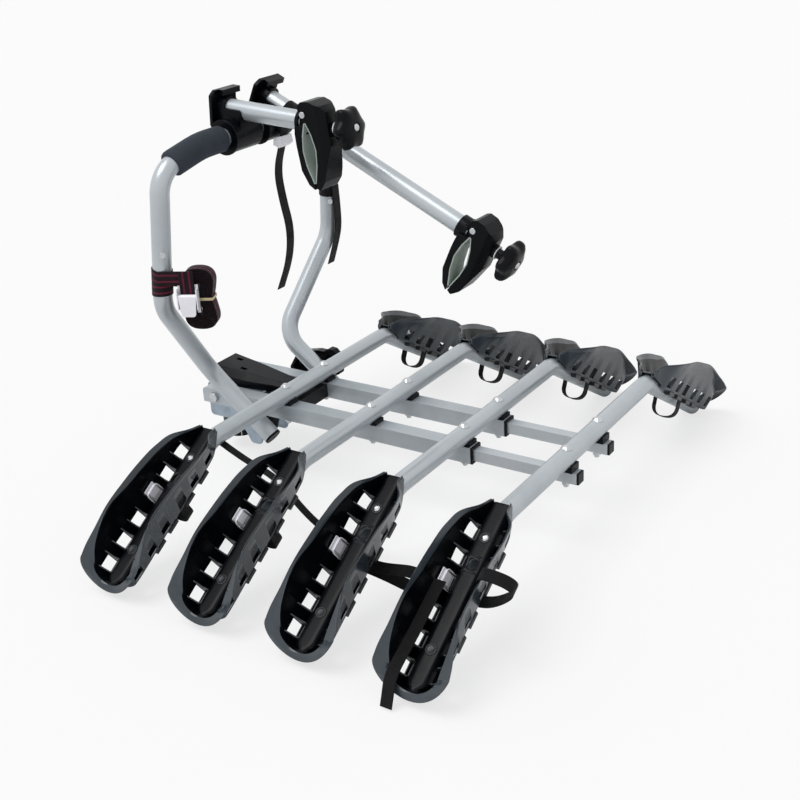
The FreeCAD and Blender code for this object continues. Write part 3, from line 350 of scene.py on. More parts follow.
# Frames of the sub-assemblies
def tray_place(x, side):
    """Maps (outward, across, off the tube) of a tray on rail x to the rack; side -1 is near."""
    def place(p):
        u, v, w = p[..., 0], p[..., 1], p[..., 2]
        y = side * (RAIL_HALF + u * DROP_C + w * DROP_S)
        return np.stack([x + v, y, RAIL_Z - u * DROP_S + w * DROP_C], axis=-1)
    return place


def turn_y(points, degrees):
    a = math.radians(degrees)
    x, y, z = points[..., 0], points[..., 1], points[..., 2]
    return np.stack([x * math.cos(a) + z * math.sin(a), y, z * math.cos(a) - x * math.sin(a)], axis=-1)


def arm_place(i):
    """Maps the frame of arm i, with its tube along x, to the rack."""
    return lambda p: turn_y(p, ARM_DROOP[i]) + np.array([BAR_X, ARM_Y[i], BAR_Z])


def jaw_place(i):
    """Maps the frame of the jaw on arm i to the rack."""
    arm = arm_place(i)
    return lambda p: arm(turn_y(p, -JAW_TURN[i]) + np.array([ARM_REACH[i], 0.0, ARM_RISE + JAW_LIFT]))


def tie_place(p):
    """Maps the frame of the tie-down strap, on the near leg, to the rack."""
    x, y, z = p[..., 0], p[..., 1], p[..., 2]
    c, s = math.cos(TIE_TURN), math.sin(TIE_TURN)
    return np.stack([x * c - y * s, x * s + y * c, z], axis=-1) + TIE_SPOT


def leg_spot(z, side):
    """The middle of a leg's upper run at height z, and the run's direction; side -1 is near."""
    a, b = np.array(UP_PATH[2]), np.array(UP_PATH[3])
    flip = np.array([1.0, -side, 1.0])
    return (a + (b - a) * (z - a[2]) / (b[2] - a[2])) * flip, unit(b - a) * flip


# Patterns shared by the materials
def node_group(name, inputs, outputs):
    group = bpy.data.node_groups.new(name, "ShaderNodeTree")
    for label, value in inputs:
        sock = group.interface.new_socket(label, in_out="INPUT", socket_type="NodeSocketFloat")
        sock.default_value = value
    for label, kind in outputs:
        group.interface.new_socket(label, in_out="OUTPUT", socket_type=kind)
    return group, group.nodes.new("NodeGroupInput"), group.nodes.new("NodeGroupOutput")


def put(tree, kind, **inputs):
    """A new node with its inputs set; an underscore in a name stands for a space."""
    node = tree.nodes.new(kind)
    for key, value in inputs.items():
        node.inputs[key.replace("_", " ")].default_value = value
    return node


def maths_node(tree, operation):
    node = tree.nodes.new("ShaderNodeMath")
    node.operation = operation
    return node


def object_noise(tree, **inputs):
    """A noise in the space of the object."""
    where = tree.nodes.new("ShaderNodeTexCoord")
    noise = put(tree, "ShaderNodeTexNoise", **inputs)
    tree.links.new(where.outputs["Object"], noise.inputs["Vector"])
    return noise


def fitted(tree, value, start):
    """A value as a share of the way from a group's Low to its High."""
    fit = tree.nodes.new("ShaderNodeMapRange")
    tree.links.new(value, fit.inputs["Value"])
    tree.links.new(start.outputs["Low"], fit.inputs["From Min"])
    tree.links.new(start.outputs["High"], fit.inputs["From Max"])
    return fit.outputs["Result"]


def grain_group():
    """Fine surface grain: a noise as a mask and as a bumped normal."""
    group, start, end = node_group("Grain", [("Scale", 900.0), ("Depth", 0.1)],
                                   [("Mask", "NodeSocketFloat"), ("Normal", "NodeSocketVector")])
    noise = object_noise(group, Detail=3.0, Roughness=0.6)
    bump = put(group, "ShaderNodeBump", Distance=0.0004)
    link = group.links.new
    link(start.outputs["Scale"], noise.inputs["Scale"])
    link(start.outputs["Depth"], bump.inputs["Strength"])
    link(noise.outputs["Fac"], bump.inputs["Height"])
    link(noise.outputs["Fac"], end.inputs["Mask"])
    link(bump.outputs["Normal"], end.inputs["Normal"])
    return group


def mottle_group():
    """Slow patches over a surface, such as handling marks: 0 where clean, 1 where marked."""
    group, start, end = node_group("Mottle", [("Scale", 14.0), ("Low", 0.45), ("High", 0.75)],
                                   [("Mask", "NodeSocketFloat")])
    noise = object_noise(group, Detail=5.0, Roughness=0.62)
    group.links.new(start.outputs["Scale"], noise.inputs["Scale"])
    group.links.new(fitted(group, noise.outputs["Fac"], start), end.inputs["Mask"])
    return group


def edge_group():
    """Rubbed edges: a mask from how sharply the surface turns, broken up by noise."""
    group, start, end = node_group("Edges", [("Low", 0.53), ("High", 0.62)], [("Mask", "NodeSocketFloat")])
    shape = group.nodes.new("ShaderNodeNewGeometry")
    noise = object_noise(group, Scale=120.0, Detail=3.0)
    mult = maths_node(group, "MULTIPLY")
    group.links.new(fitted(group, shape.outputs["Pointiness"], start), mult.inputs[0])
    group.links.new(noise.outputs["Fac"], mult.inputs[1])
    group.links.new(mult.outputs["Value"], end.inputs["Mask"])
    return group


def weave_group():
    """Webbing in strap coordinates: ribs across and along, and a mask of lengthwise stripes.

    The height is sin(2 pi x / pitch) sin(2 pi y / pitch); a stripe is where | |y| - place | < width.
    """
    group, start, end = node_group(
        "Weave", [("Pitch", 0.0016), ("Stripe Place", 0.006), ("Stripe Width", 0.0012)],
        [("Height", "NodeSocketFloat"), ("Stripe", "NodeSocketFloat"), ("Normal", "NodeSocketVector")])
    uv = group.nodes.new("ShaderNodeUVMap")
    uv.uv_map = "strap"
    parts = group.nodes.new("ShaderNodeSeparateXYZ")
    link = group.links.new
    link(uv.outputs["UV"], parts.inputs["Vector"])

    def op(kind, a, b=None, value=None):
        node = maths_node(group, kind)
        link(a, node.inputs[0])
        if b is not None:
            link(b, node.inputs[1])
        if value is not None:
            node.inputs[1].default_value = value
        return node.outputs["Value"]

    along = op("DIVIDE", parts.outputs["X"], start.outputs["Pitch"])
    over = op("DIVIDE", parts.outputs["Y"], start.outputs["Pitch"])
    wave_a = op("SINE", op("MULTIPLY", along, value=2 * math.pi))
    wave_b = op("SINE", op("MULTIPLY", over, value=2 * math.pi))
    height = op("MULTIPLY", wave_a, wave_b)
    away = op("ABSOLUTE", op("SUBTRACT", op("ABSOLUTE", parts.outputs["Y"]), start.outputs["Stripe Place"]))
    stripe = op("LESS_THAN", away, start.outputs["Stripe Width"])
    bump = put(group, "ShaderNodeBump", Strength=0.7, Distance=0.0003)
    link(height, bump.inputs["Height"])
    link(height, end.inputs["Height"])
    link(stripe, end.inputs["Stripe"])
    link(bump.outputs["Normal"], end.inputs["Normal"])
    return group


GRAIN = grain_group()
MOTTLE = mottle_group()
EDGES = edge_group()
WEAVE = weave_group()


# Materials
def blank(name):
    mat = bpy.data.materials.new(name)
    mat.use_nodes = True
    tree = mat.node_tree
    return mat, tree, tree.nodes["Principled BSDF"]


def use_group(tree, group, **inputs):
    node = put(tree, "ShaderNodeGroup")
    node.node_tree = group
    for key, value in inputs.items():
        node.inputs[key.replace("_", " ")].default_value = value
    return node


def mixed(tree, mask, low, high):
    """Colour between low and high by a mask; both may be colours or sockets."""
    mix = tree.nodes.new("ShaderNodeMix")
    mix.data_type = "RGBA"
    tree.links.new(mask, mix.inputs["Factor"])
    for sock, value in ((mix.inputs["A"], low), (mix.inputs["B"], high)):
        if isinstance(value, tuple):
            sock.default_value = (*value, 1.0)
        else:
            tree.links.new(value, sock)
    return mix.outputs["Result"]


def ranged(tree, mask, low, high):
    """A mask spread over the range from low to high."""
    fit = tree.nodes.new("ShaderNodeMapRange")
    fit.inputs["To Min"].default_value = low
    fit.inputs["To Max"].default_value = high
    tree.links.new(mask, fit.inputs["Value"])
    return fit.outputs["Result"]


def solid_material(name, colour, marked, worn, rough, metal=0.0, grain=900.0, depth=0.1, patch=14.0,
                   level=0.5):
    """Grained surface with slow patches and rubbed edges.

    colour, marked and worn are linear colours; rough is the range of roughness over the patches. grain
    and patch are the scales of the two noises, and level is the strength of the reflection.
    """
    mat, tree, shader = blank(name)
    fine = use_group(tree, GRAIN, Scale=grain, Depth=depth)
    slow = use_group(tree, MOTTLE, Scale=patch)
    edge = use_group(tree, EDGES)
    base = mixed(tree, slow.outputs["Mask"], colour, marked)
    tree.links.new(mixed(tree, edge.outputs["Mask"], base, worn), shader.inputs["Base Color"])
    tree.links.new(ranged(tree, slow.outputs["Mask"], *rough), shader.inputs["Roughness"])
    tree.links.new(fine.outputs["Normal"], shader.inputs["Normal"])
    shader.inputs["Metallic"].default_value = metal
    shader.inputs["Specular IOR Level"].default_value = level
    return mat


def web_material(name, dark, light, stripe=None, place=0.006, width=0.0012):
    """Woven webbing from dark and light yarn; stripes have their own place and width, in metres."""
    mat, tree, shader = blank(name)
    weave = use_group(tree, WEAVE, Stripe_Place=place, Stripe_Width=width)
    slow = use_group(tree, MOTTLE, Scale=60.0)
    yarn = mixed(tree, ranged(tree, weave.outputs["Height"], 0.0, 1.0), dark, light)
    if stripe:
        yarn = mixed(tree, weave.outputs["Stripe"], yarn, stripe)
    tree.links.new(yarn, shader.inputs["Base Color"])
    tree.links.new(ranged(tree, slow.outputs["Mask"], 0.55, 0.8), shader.inputs["Roughness"])
    tree.links.new(weave.outputs["Normal"], shader.inputs["Normal"])
    shader.inputs["Specular IOR Level"].default_value = 0.15
    shader.inputs["Sheen Weight"].default_value = 0.05
    shader.inputs["Sheen Roughness"].default_value = 0.4
    return mat


MATS = {
    "silver_tube": solid_material(
        "satin silver tube", colour=(0.49, 0.53, 0.56), marked=(0.43, 0.47, 0.50), worn=(0.6, 0.62, 0.64),
        rough=(0.30, 0.42), metal=0.45, grain=1600.0, depth=0.06, patch=9.0),
    "silver_beam": solid_material(
        "satin silver beam", colour=(0.43, 0.47, 0.50), marked=(0.36, 0.40, 0.43), worn=(0.6, 0.62, 0.64),
        rough=(0.34, 0.46), metal=0.45, grain=1600.0, depth=0.06, patch=9.0),
    "black_plastic": solid_material(
        "black moulded plastic", colour=(0.0014, 0.0018, 0.0032), marked=(0.003, 0.0036, 0.0052),
        worn=(0.022, 0.025, 0.031), rough=(0.26, 0.40), grain=1100.0, depth=0.18, patch=22.0, level=0.10),
    "tray_plastic": solid_material(
        "tray plastic", colour=(0.0016, 0.002, 0.0034), marked=(0.004, 0.005, 0.007),
        worn=(0.026, 0.031, 0.038), rough=(0.24, 0.38), grain=1300.0, depth=0.10, patch=16.0, level=0.13),
    # A lighter, glossier copy of the tray plastic: painted sheen on the wings and on the outside of the
    # tray walls.
    "tray_wing_painted_sheen": solid_material(
        "tray wing painted sheen", colour=(0.030, 0.041, 0.052), marked=(0.045, 0.058, 0.071),
        worn=(0.09, 0.105, 0.12), rough=(0.18, 0.32), grain=1300.0, depth=0.06, patch=12.0, level=0.5),
    # A lighter copy of the rib plastic on the top sides of the ribs: a painted highlight along the rib
    # tops.
    "rib_top_painted_highlight": solid_material(
        "rib tops painted highlight", colour=(0.045, 0.052, 0.060), marked=(0.06, 0.068, 0.076),
        worn=(0.1, 0.11, 0.12), rough=(0.26, 0.38), grain=1300.0, depth=0.08, patch=12.0, level=0.4),
    # A copy of the tray plastic made lighter for the ribs, feet and bosses: painted highlight, so that the
    # fins stand out from the shaded trough.
    "tray_detail_painted_highlight": solid_material(
        "tray details painted highlight", colour=(0.014, 0.017, 0.020), marked=(0.022, 0.026, 0.030),
        worn=(0.06, 0.065, 0.07), rough=(0.26, 0.38), grain=1300.0, depth=0.08, patch=12.0, level=0.3),
    "black_steel": solid_material(
        "powder coated steel", colour=(0.003, 0.0035, 0.005), marked=(0.006, 0.007, 0.009),
        worn=(0.05, 0.05, 0.052), rough=(0.35, 0.5), grain=1500.0, depth=0.15, patch=20.0, level=0.2),
    "zinc_plate": solid_material(
        "zinc plated plate", colour=(0.36, 0.43, 0.50), marked=(0.26, 0.31, 0.37), worn=(0.55, 0.57, 0.6),
        rough=(0.3, 0.5), metal=0.8, grain=1200.0, depth=0.08, patch=40.0),
    "knob_plastic": solid_material(
        "knob plastic", colour=(0.0014, 0.0016, 0.0028), marked=(0.0028, 0.0032, 0.0045),
        worn=(0.024, 0.026, 0.031), rough=(0.20, 0.32), grain=1400.0, depth=0.15, patch=30.0, level=0.12),
    "foam": solid_material(
        "foam grip", colour=(0.034, 0.042, 0.056), marked=(0.046, 0.055, 0.070),
        worn=(0.06, 0.065, 0.075), rough=(0.75, 0.9), grain=1500.0, depth=0.6, patch=26.0, level=0.2),
    "pad_rubber": solid_material(
        "pad rubber", colour=(0.36, 0.42, 0.38), marked=(0.28, 0.33, 0.30),
        worn=(0.48, 0.54, 0.5), rough=(0.55, 0.7), grain=1200.0, depth=0.2, patch=40.0, level=0.35),
    "zinc": solid_material(
        "zinc fixings", colour=(0.55, 0.57, 0.59), marked=(0.42, 0.44, 0.46), worn=(0.7, 0.71, 0.72),
        rough=(0.22, 0.4), metal=0.95, grain=1500.0, depth=0.05, patch=60.0),
    # Near-white and barely metallic: the pale plating together with a painted reflection, made brighter to
    # offset the shade of the trough.
    "buckle_metal": solid_material(
        "plated buckles painted glint", colour=(0.90, 0.89, 0.96), marked=(0.78, 0.78, 0.85), worn=(0.95, 0.95, 0.98),
        rough=(0.24, 0.40), metal=0.05, grain=1500.0, depth=0.04, patch=60.0),
    "webbing": web_material(
        "black webbing", dark=(0.0018, 0.0018, 0.0022), light=(0.008, 0.008, 0.010)),
    "striped_webbing": web_material(
        "striped webbing", dark=(0.006, 0.0025, 0.0045), light=(0.024, 0.008, 0.015),
        stripe=(0.12, 0.012, 0.034), place=0.0055, width=0.0015),
    "band_rubber": solid_material(
        "rubber band", colour=(0.62, 0.52, 0.30), marked=(0.50, 0.42, 0.24),
        worn=(0.7, 0.6, 0.4), rough=(0.4, 0.6), patch=50.0),
}


# Finishing of pieces
def dress(obj, slot, body, *nodes):
    """Gives a piece its material or materials, its body and the nodes it stands for."""
    for name in slot if isinstance(slot, tuple) else (slot,):
        obj.data.materials.append(MATS[name])
    if nodes:
        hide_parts(*nodes)
    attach(obj, body)
    return obj


def node_copy(node, bevel, slot=None):
    """A copy of a CAD node with joined vertices, flat faces made whole, smooth sides and rounded edges."""
    source = frame["nodes"][node]
    bm = bmesh.new()
    bm.from_mesh(source.data)
    bm.transform(source.matrix_world)
    bmesh.ops.remove_doubles(bm, verts=bm.verts, dist=2e-5)
    bmesh.ops.dissolve_degenerate(bm, dist=1e-6, edges=bm.edges)
    bmesh.ops.dissolve_limit(bm, angle_limit=math.radians(1.0), verts=bm.verts, edges=bm.edges)
    bmesh.ops.recalc_face_normals(bm, faces=bm.faces)
    for face in bm.faces:
        face.smooth = True
    mesh = bpy.data.meshes.new(node + "_shown")
    bm.to_mesh(mesh)
    bm.free()
    obj = bpy.data.objects.new(node + "_shown", mesh)
    bpy.context.scene.collection.objects.link(obj)
    bevelled(sharpened(obj), bevel)
    return dress(obj, slot or SLOT_OF[node], BODY_OF[node], node)


# Wheel tray in its own frame: u outward along the end of the rail, v across and w off the rail
TRAY_START = -8.0
FAN_START = 285.0
TRAY_WALL = 2.4
WINDOW_U = (46.0, 92.0, 133.0, 185.0, 228.0, 273.0)
WINDOW_HALF = 11.0
WINDOW_LOW, WINDOW_HIGH = 3.5, 24.0
RIDGE_TOP = 19.5
RIDGE_FLAT = 11.2
RIDGE_HALF = 19.6
FLOOR_LOW = -1.0
UNDERSIDE = -2.0
HOLE_U, HOLE_R, HOLE_HALF = 98.0, 10.0, 14.0
RIB_T = 2.2
RIB_SIDES = (-13.6, 11.4)
RIB_INNER = ((18.5, 13.8), (25.0, 17.5))
RIB_TOP = 34.0
FOOT_U = (58.0, 104.0, 158.0, 198.0)
FOOT_V = (17.5, 28.5)
FOOT_LOW = -9.0
FOOT_LENGTH = 26.0
BOSS_U = (54.0, 240.0)
BOSS = [(18.5, 5.0), (18.5, 9.6), (20.4, 9.2), (21.0, 8.4), (21.0, 6.6), (19.6, 6.2), (19.6, 0.01)]

# Rows of a tray: u, then across and off of the floor's edge, of the crease in the wall and of the rim
TRAY_TABLE = np.array([
    (-8, 13.0, 13.0, 15.0, 24.0, 16.5, 26.0),
    (12, 19.0, 5.0, 20.3, 33.5, 22.5, 38.0),
    (32, 23.0, -1.0, 35.0, 40.0, 40.5, 47.0),
    (62, 24.8, -1.0, 42.0, 48.0, 48.0, 56.0),
    (110, 24.8, -1.0, 43.4, 58.0, 48.6, 68.0),
    (150, 25.2, -1.0, 44.0, 64.0, 49.0, 73.0),
    (205, 25.8, -1.0, 46.6, 72.0, 49.4, 75.5),
    (240, 26.8, -1.0, 46.2, 63.0, 53.5, 66.0),
    (272, 26.8, -1.0, 42.5, 48.0, 59.5, 55.0),
    (285, 26.5, -0.6, 39.0, 38.0, 60.5, 50.0),
])

# Outer end of a tray, where each line of the section meets the middle plane: u and w, ridge to rim lip
END_U = (296, 297, 298, 298.6, 300, 300.4, 301.5, 302, 302.6, 303, 304, 306.4, 307.6, 308, 313, 317.4, 318)
END_W = (19.5, 19.5, 19.5, 19.5, 19.5, 19.5, 19.4, 19.4, 19.4, 19.4, 19.5, 19.8, 20, 20, 17.5, 14.4, 13.0)

# Lines of the half section, counted from the ridge, and cells of the whole surface, from rim to rim
FLOOR_LINE = 9
CREASE_LINE = 13
RIDGE_COLUMN = 16
WINDOW_CELLS = (5, 26)
WING_CELLS = (0, 1, 2, 29, 30, 31)
HOLE_CELLS = (14, 15, 16, 17)


def flowing(u, table):
    """Smooth lines through the rows of a table at distances u.

    Each piece is the cubic that meets both rows, and its slope at a row is that of the neighbours.
    """
    at, values = table[:, 0], table[:, 1:]
    slope = np.gradient(values, at, axis=0)
    k = np.clip(np.searchsorted(at, u) - 1, 0, len(at) - 2)
    gap = (at[k + 1] - at[k])[:, None]
    t = (u - at[k])[:, None] / gap
    return ((2 * t**3 - 3 * t**2 + 1) * values[k] + (t**3 - 2 * t**2 + t) * gap * slope[k]
            + (3 * t**2 - 2 * t**3) * values[k + 1] + (t**3 - t**2) * gap * slope[k + 1])


def tray_half(u):
    """Half sections at distances u, as (len(u), 17, 2) pairs across and off, from ridge to rim lip."""
    floor_v, floor_w, crease_v, crease_w, rim_v, rim_w = flowing(u, TRAY_TABLE).T
    zero = 0.0 * u
    bottom = np.maximum(floor_w, FLOOR_LOW)
    flank = np.minimum(RIDGE_HALF, floor_v - 1.5)

    def on_wall(height):
        w = np.clip(height, floor_w + 1.5, crease_w - 1.0)
        return floor_v + (crease_v - floor_v) * (w - floor_w) / (crease_w - floor_w), w

    ridge = [(zero, zero + RIDGE_TOP), (zero + 6.0, zero + RIDGE_TOP),
             (zero + RIDGE_FLAT, zero + RIDGE_TOP - 0.1), (np.minimum(13.2, flank), zero + RIDGE_TOP - 0.9),
             (flank - 0.6, zero + 12.8)]
    gutter = [(flank, np.maximum(bottom + 1.0, 10.8)), (flank + 0.1, bottom + 2.0), (flank + 0.8, bottom),
              (floor_v - 1.0, bottom), (floor_v + 0.1, bottom + 1.0)]
    wall = [on_wall(WINDOW_LOW), on_wall(WINDOW_HIGH), on_wall(crease_w - 3.0), (crease_v, crease_w)]
    rim = [((crease_v + rim_v) / 2.0, (crease_w + rim_w) / 2.0 - 0.6), (rim_v, rim_w),
           (rim_v + 1.1, rim_w - 0.9)]
    return np.stack([np.stack(line, axis=-1) for line in ridge + gutter + wall + rim], axis=1)


def tray_surface():
    """Top surface of a tray as rows of (outward, across, off) points.

    Up to FAN_START the rows are plain sections. Beyond it they fan round the end: with f from 0 to 90
    degrees, outward = start + reach sin f, across = across0 cos f, off = off0 + (off1 - off0) sin^2 f.
    """
    cuts = [c + s * WINDOW_HALF for c in WINDOW_U for s in (-1, 1)]
    cuts += [HOLE_U - HOLE_HALF, HOLE_U + HOLE_HALF]
    u = np.unique(np.concatenate([np.linspace(TRAY_START, FAN_START, 84), cuts]).round(3))
    half = tray_half(u)
    rows = np.concatenate([np.broadcast_to(u[:, None, None], half[..., :1].shape), half], axis=-1)
    f = np.radians(np.linspace(0.0, 90.0, 15)[1:])[:, None]
    last = half[-1]
    fan_u = FAN_START + (np.array(END_U) - FAN_START)[None] * np.sin(f)
    fan_v = last[None, :, 0] * np.cos(f)
    fan_w = last[None, :, 1] + (np.array(END_W) - last[:, 1])[None] * np.sin(f) ** 2
    rows = np.concatenate([rows, np.stack([fan_u, fan_v, fan_w], axis=-1)], axis=0)
    mirror = rows[:, :0:-1] * np.array([1.0, -1.0, 1.0])
    return np.concatenate([mirror, rows], axis=1)


def tray_mask(rows):
    """Cells of the tray surface that are there: windows in the walls and the hole's patch are open."""
    u = rows[:, RIDGE_COLUMN, 0]
    middle = (u[1:] + u[:-1]) / 2.0
    keep = np.ones((rows.shape[0] - 1, rows.shape[1] - 1), bool)
    for c in WINDOW_U:
        keep[np.ix_(np.abs(middle - c) < WINDOW_HALF, WINDOW_CELLS)] = False
    keep[np.ix_(np.abs(middle - HOLE_U) < HOLE_HALF, HOLE_CELLS)] = False
    return keep


def hole_patch():
    """The ridge round its hole: rings from the circle out to a rectangle.

    At the angle t the rectangle is min(half length / |cos t|, half width / |sin t|) from the middle.
    """
    turn = np.linspace(0.0, 2 * math.pi, 56, endpoint=False)
    corner = math.atan2(RIDGE_FLAT, HOLE_HALF)
    corners = [0.0, corner, math.pi - corner, math.pi + corner, 2 * math.pi - corner]
    turn = np.sort(np.concatenate([turn[1:], corners]))
    c, s = np.cos(turn), np.sin(turn)
    reach = np.minimum(HOLE_HALF / np.maximum(np.abs(c), 1e-9), RIDGE_FLAT / np.maximum(np.abs(s), 1e-9))
    share = np.array([0.0, 0.12, 1.0])[:, None]
    radius = HOLE_R + (reach[None] - HOLE_R) * share
    height = RIDGE_TOP + np.array([-0.5, 0.0, 0.0])[:, None] + 0 * radius
    return np.stack([HOLE_U + radius * c, radius * s, height], axis=-1)


TRAY_ROWS = tray_surface()
TRAY_KEEP = tray_mask(TRAY_ROWS)
TRAY_CELLS = np.broadcast_to(np.arange(TRAY_KEEP.shape[1]), TRAY_KEEP.shape)[TRAY_KEEP]
# Cells from the crease to the rim take the second material, the lighter tray wing copy: painted sheen on
# the wings.
TRAY_SHEEN_INDEX = np.isin(TRAY_CELLS, WING_CELLS).astype(np.int32)
PATCH = hole_patch()


def tray_shell(node, place, side):
    """The skin of a tray: its top surface and the patch round the hole, with a wall's thickness below."""
    skin = grid_object(node + "_shell", place(TRAY_ROWS), keep=TRAY_KEEP, flip=side < 0)
    skin.data.polygons.foreach_set("material_index", TRAY_SHEEN_INDEX)
    patch = grid_object(node + "_patch", place(PATCH), wrap=True, flip=side < 0)
    shell = joined(node + "_shell", [skin, patch])
    merge(shell, 1e-5)
    sharpened(shell, 50.0)
    wall = shell.modifiers.new("wall", "SOLIDIFY")
    wall.thickness = TRAY_WALL * MM
    wall.offset = -1.0
    wall.use_even_offset = False
    # The back of the wall and its rims take the second material too: painted sheen on the outside of the
    # tray walls.
    wall.material_offset = 1
    wall.material_offset_rim = 1
    return bevelled(shell, 0.3, 1, 60.0)


def tray_ribs(name, place):
    """Ribs on both sides of each window, from the ridge out to the wall."""
    ribs = []
    (v0, w0), (v1, w1) = RIB_INNER
    for c in WINDOW_U:
        for u in (c + RIB_SIDES[0], c + RIB_SIDES[1]):
            half = tray_half(np.array([u + RIB_T / 2.0]))[0]
            floor_v, floor_w = half[FLOOR_LINE]
            crease_v, crease_w = half[CREASE_LINE]
            high = min(crease_w - 8.0, RIB_TOP)
            wide = floor_v + (crease_v - floor_v) * (high - floor_w) / (crease_w - floor_w) + 1.0
            for s in (-1, 1):
                ribs.append([(u, s * v0, w0), (u, s * v1, w1), (u, s * wide, high),
                             (u, s * (floor_v + 1.0), UNDERSIDE), (u, s * v0, UNDERSIDE)])
    obj = prisms(name, ribs, RIB_T, place)
    # A rib has two ends and five sides, and its first two sides, on top, have the second material, a
    # lighter plastic that paints a highlight along the rib tops
    top_highlight_index = np.zeros((len(ribs), 7), np.int32)
    top_highlight_index[:, 2:4] = 1
    obj.data.polygons.foreach_set("material_index", top_highlight_index.ravel())
    return obj


def tray_details(node, place):
    """Ribs beside the windows, feet under the floor and the bosses on the ridge."""
    parts = [tray_ribs(node + "_ribs", place)]
    v0, v1 = FOOT_V
    feet = [[(u, s * v0, FOOT_LOW), (u, s * v1, FOOT_LOW), (u, s * v1, UNDERSIDE), (u, s * v0, UNDERSIDE)]
            for u in FOOT_U for s in (-1, 1)]
    parts.append(prisms(node + "_feet", feet, FOOT_LENGTH, place))
    for u in BOSS_U:
        parts.append(turned(node + "_boss", BOSS, (u, 0, 0), (0, 0, 1), 36, place=place))
    return bevelled(joined(node + "_details", parts), 0.45, 2, 40.0)


for n, x in enumerate(RAILS):
    for side, word in ((-1, "near"), (1, "far")):
        node = "tray_%d_%s" % (n + 1, word)
        place = tray_place(x, side)
        # The wings and the outside of the walls take a lighter copy of the tray plastic: painted sheen.
        dress(tray_shell(node, place, side), ("tray_plastic", "tray_wing_painted_sheen"), "platform", node)
        # The details take a lighter copy of the tray plastic, with painted highlights on the rib tops.
        dress(tray_details(node, place), ("tray_detail_painted_highlight", "rib_top_painted_highlight"), "platform", node)


# Straps of the trays: routes across and off the rail at the slots, two of them for one rail and side
STRAP_U = 133.0
HANG = [(-33.6, 30), (-23.3, -2), (-23.3, -44), (23.3, -44), (23.3, -2), (33.6, 30)]
LOW = [(-33.6, 30), (-23.3, -2), (-23.3, -20), (10, -24), (46, -36), (72, -50), (100, -52),
       (124, -28), (118, 2), (98, 9), (72, 0), (45, -10), (23.3, -13), (23.3, -2), (33.6, 30)]
WIDE = [(-33.6, 30), (-23.3, -2), (-23.3, -20), (0, -28), (30, -22), (62, 6), (90, 40),
        (97, 58), (88, 71), (68, 77), (47, 77), (40.5, 62), (34.2, 36)]
SPECIAL = {(2, -1): LOW, (3, -1): WIDE}

# The end in the last near tray, outward and off; the loose strap from rail 1 to rail 3, along x and z
TAIL_V = -26.2
TAIL = [(144, 36.6), (172, 37.4), (210, 37.6), (252, 40), (288, 43), (308, 39), (322, 27), (338, 14)]
LOOSE_Y = -250.0
LOOSE = [(177.5, 95.4), (203, 84), (236, 71), (275, 60), (307, 43), (346, 4), (388, -24), (436, -31),
         (480, -22), (512, 8), (535, 50), (549.5, 93.6)]

WIRE_R = 1.3
WIRE_LIFT = 4.4
WIRE_BOX = [(-14, 3), (14, 3), (14, 27), (-14, 27)]


def tray_webbing():
    straps = []
    for n, x in enumerate(RAILS):
        for side in (-1, 1):
            route = with_axis(SPECIAL.get((n, side), HANG), 0, STRAP_U)
            name = "loop_%d_%d" % (n, side)
            straps.append(ribbon(name, route, TRAY_WEB_W, (1, 0, 0), tray_place(x, side)))
    tail = with_axis(TAIL, 1, TAIL_V)
    straps.append(ribbon("tail", tail, TRAY_WEB_W, (0, 1, 0), tray_place(RAILS[3], -1)))
    straps.append(ribbon("loose", with_axis(LOOSE, 1, LOOSE_Y), LOOSE_WEB_W, (0, 1, 0)))
    return joined("tray_webbing", straps)


def corner_cut(corners, share):
    """Two points on each side of a closed outline, a share of the side in from its corners."""
    here = np.asarray(corners, float)
    after = np.roll(here, -1, axis=0)
    pairs = [here * (1.0 - share) + after * share, here * share + after * (1.0 - share)]
    return np.stack(pairs, axis=1).reshape(-1, here.shape[1])


def buckle_wire(name, place):
    """The wire loop round a tray's buckle: a closed rounded rectangle lying along the webbing."""
    first, second = np.array(HANG[0], float), np.array(HANG[1], float)
    way = unit(second - first)
    out = np.array([-way[1], way[0]])
    flat = soften(corner_cut(WIRE_BOX, 0.15), 2, True)
    across_off = first + way * flat[:, 1:] + out * WIRE_LIFT
    path = place(np.column_stack([STRAP_U + flat[:, 0], across_off]))
    face = place(np.array([0.0, out[0], out[1]])) - place(np.zeros(3))
    return swept(name, path, circle(WIRE_R, 10), face, closed=True)


def buckle_wires():
    wires = [buckle_wire("wire_%d_%d" % (n, side), tray_place(x, side))
             for n, x in enumerate(RAILS) for side in (-1, 1)]
    return joined("buckle_wires", wires)


dress(tray_webbing(), "webbing", "platform", "tray_straps")
dress(buckle_wires(), "buckle_metal", "platform")


# Upright tube and its foam grip
GRIP_R = 23.0
GRIP_STEP = 1.5
GRIP_FROM, GRIP_TO = -205.0, -75.0
GRIP_ABOVE = 480.0
LIP_LENGTH = 5.0
LIP_DEPTH = 0.22
LIP_POWER = 2.2


def upright_tube(line):
    tube = swept("upright_tube", line, circle(UP_R, 48), framed(line, (1, 0, 0)))
    return sharpened(tube, 60.0)


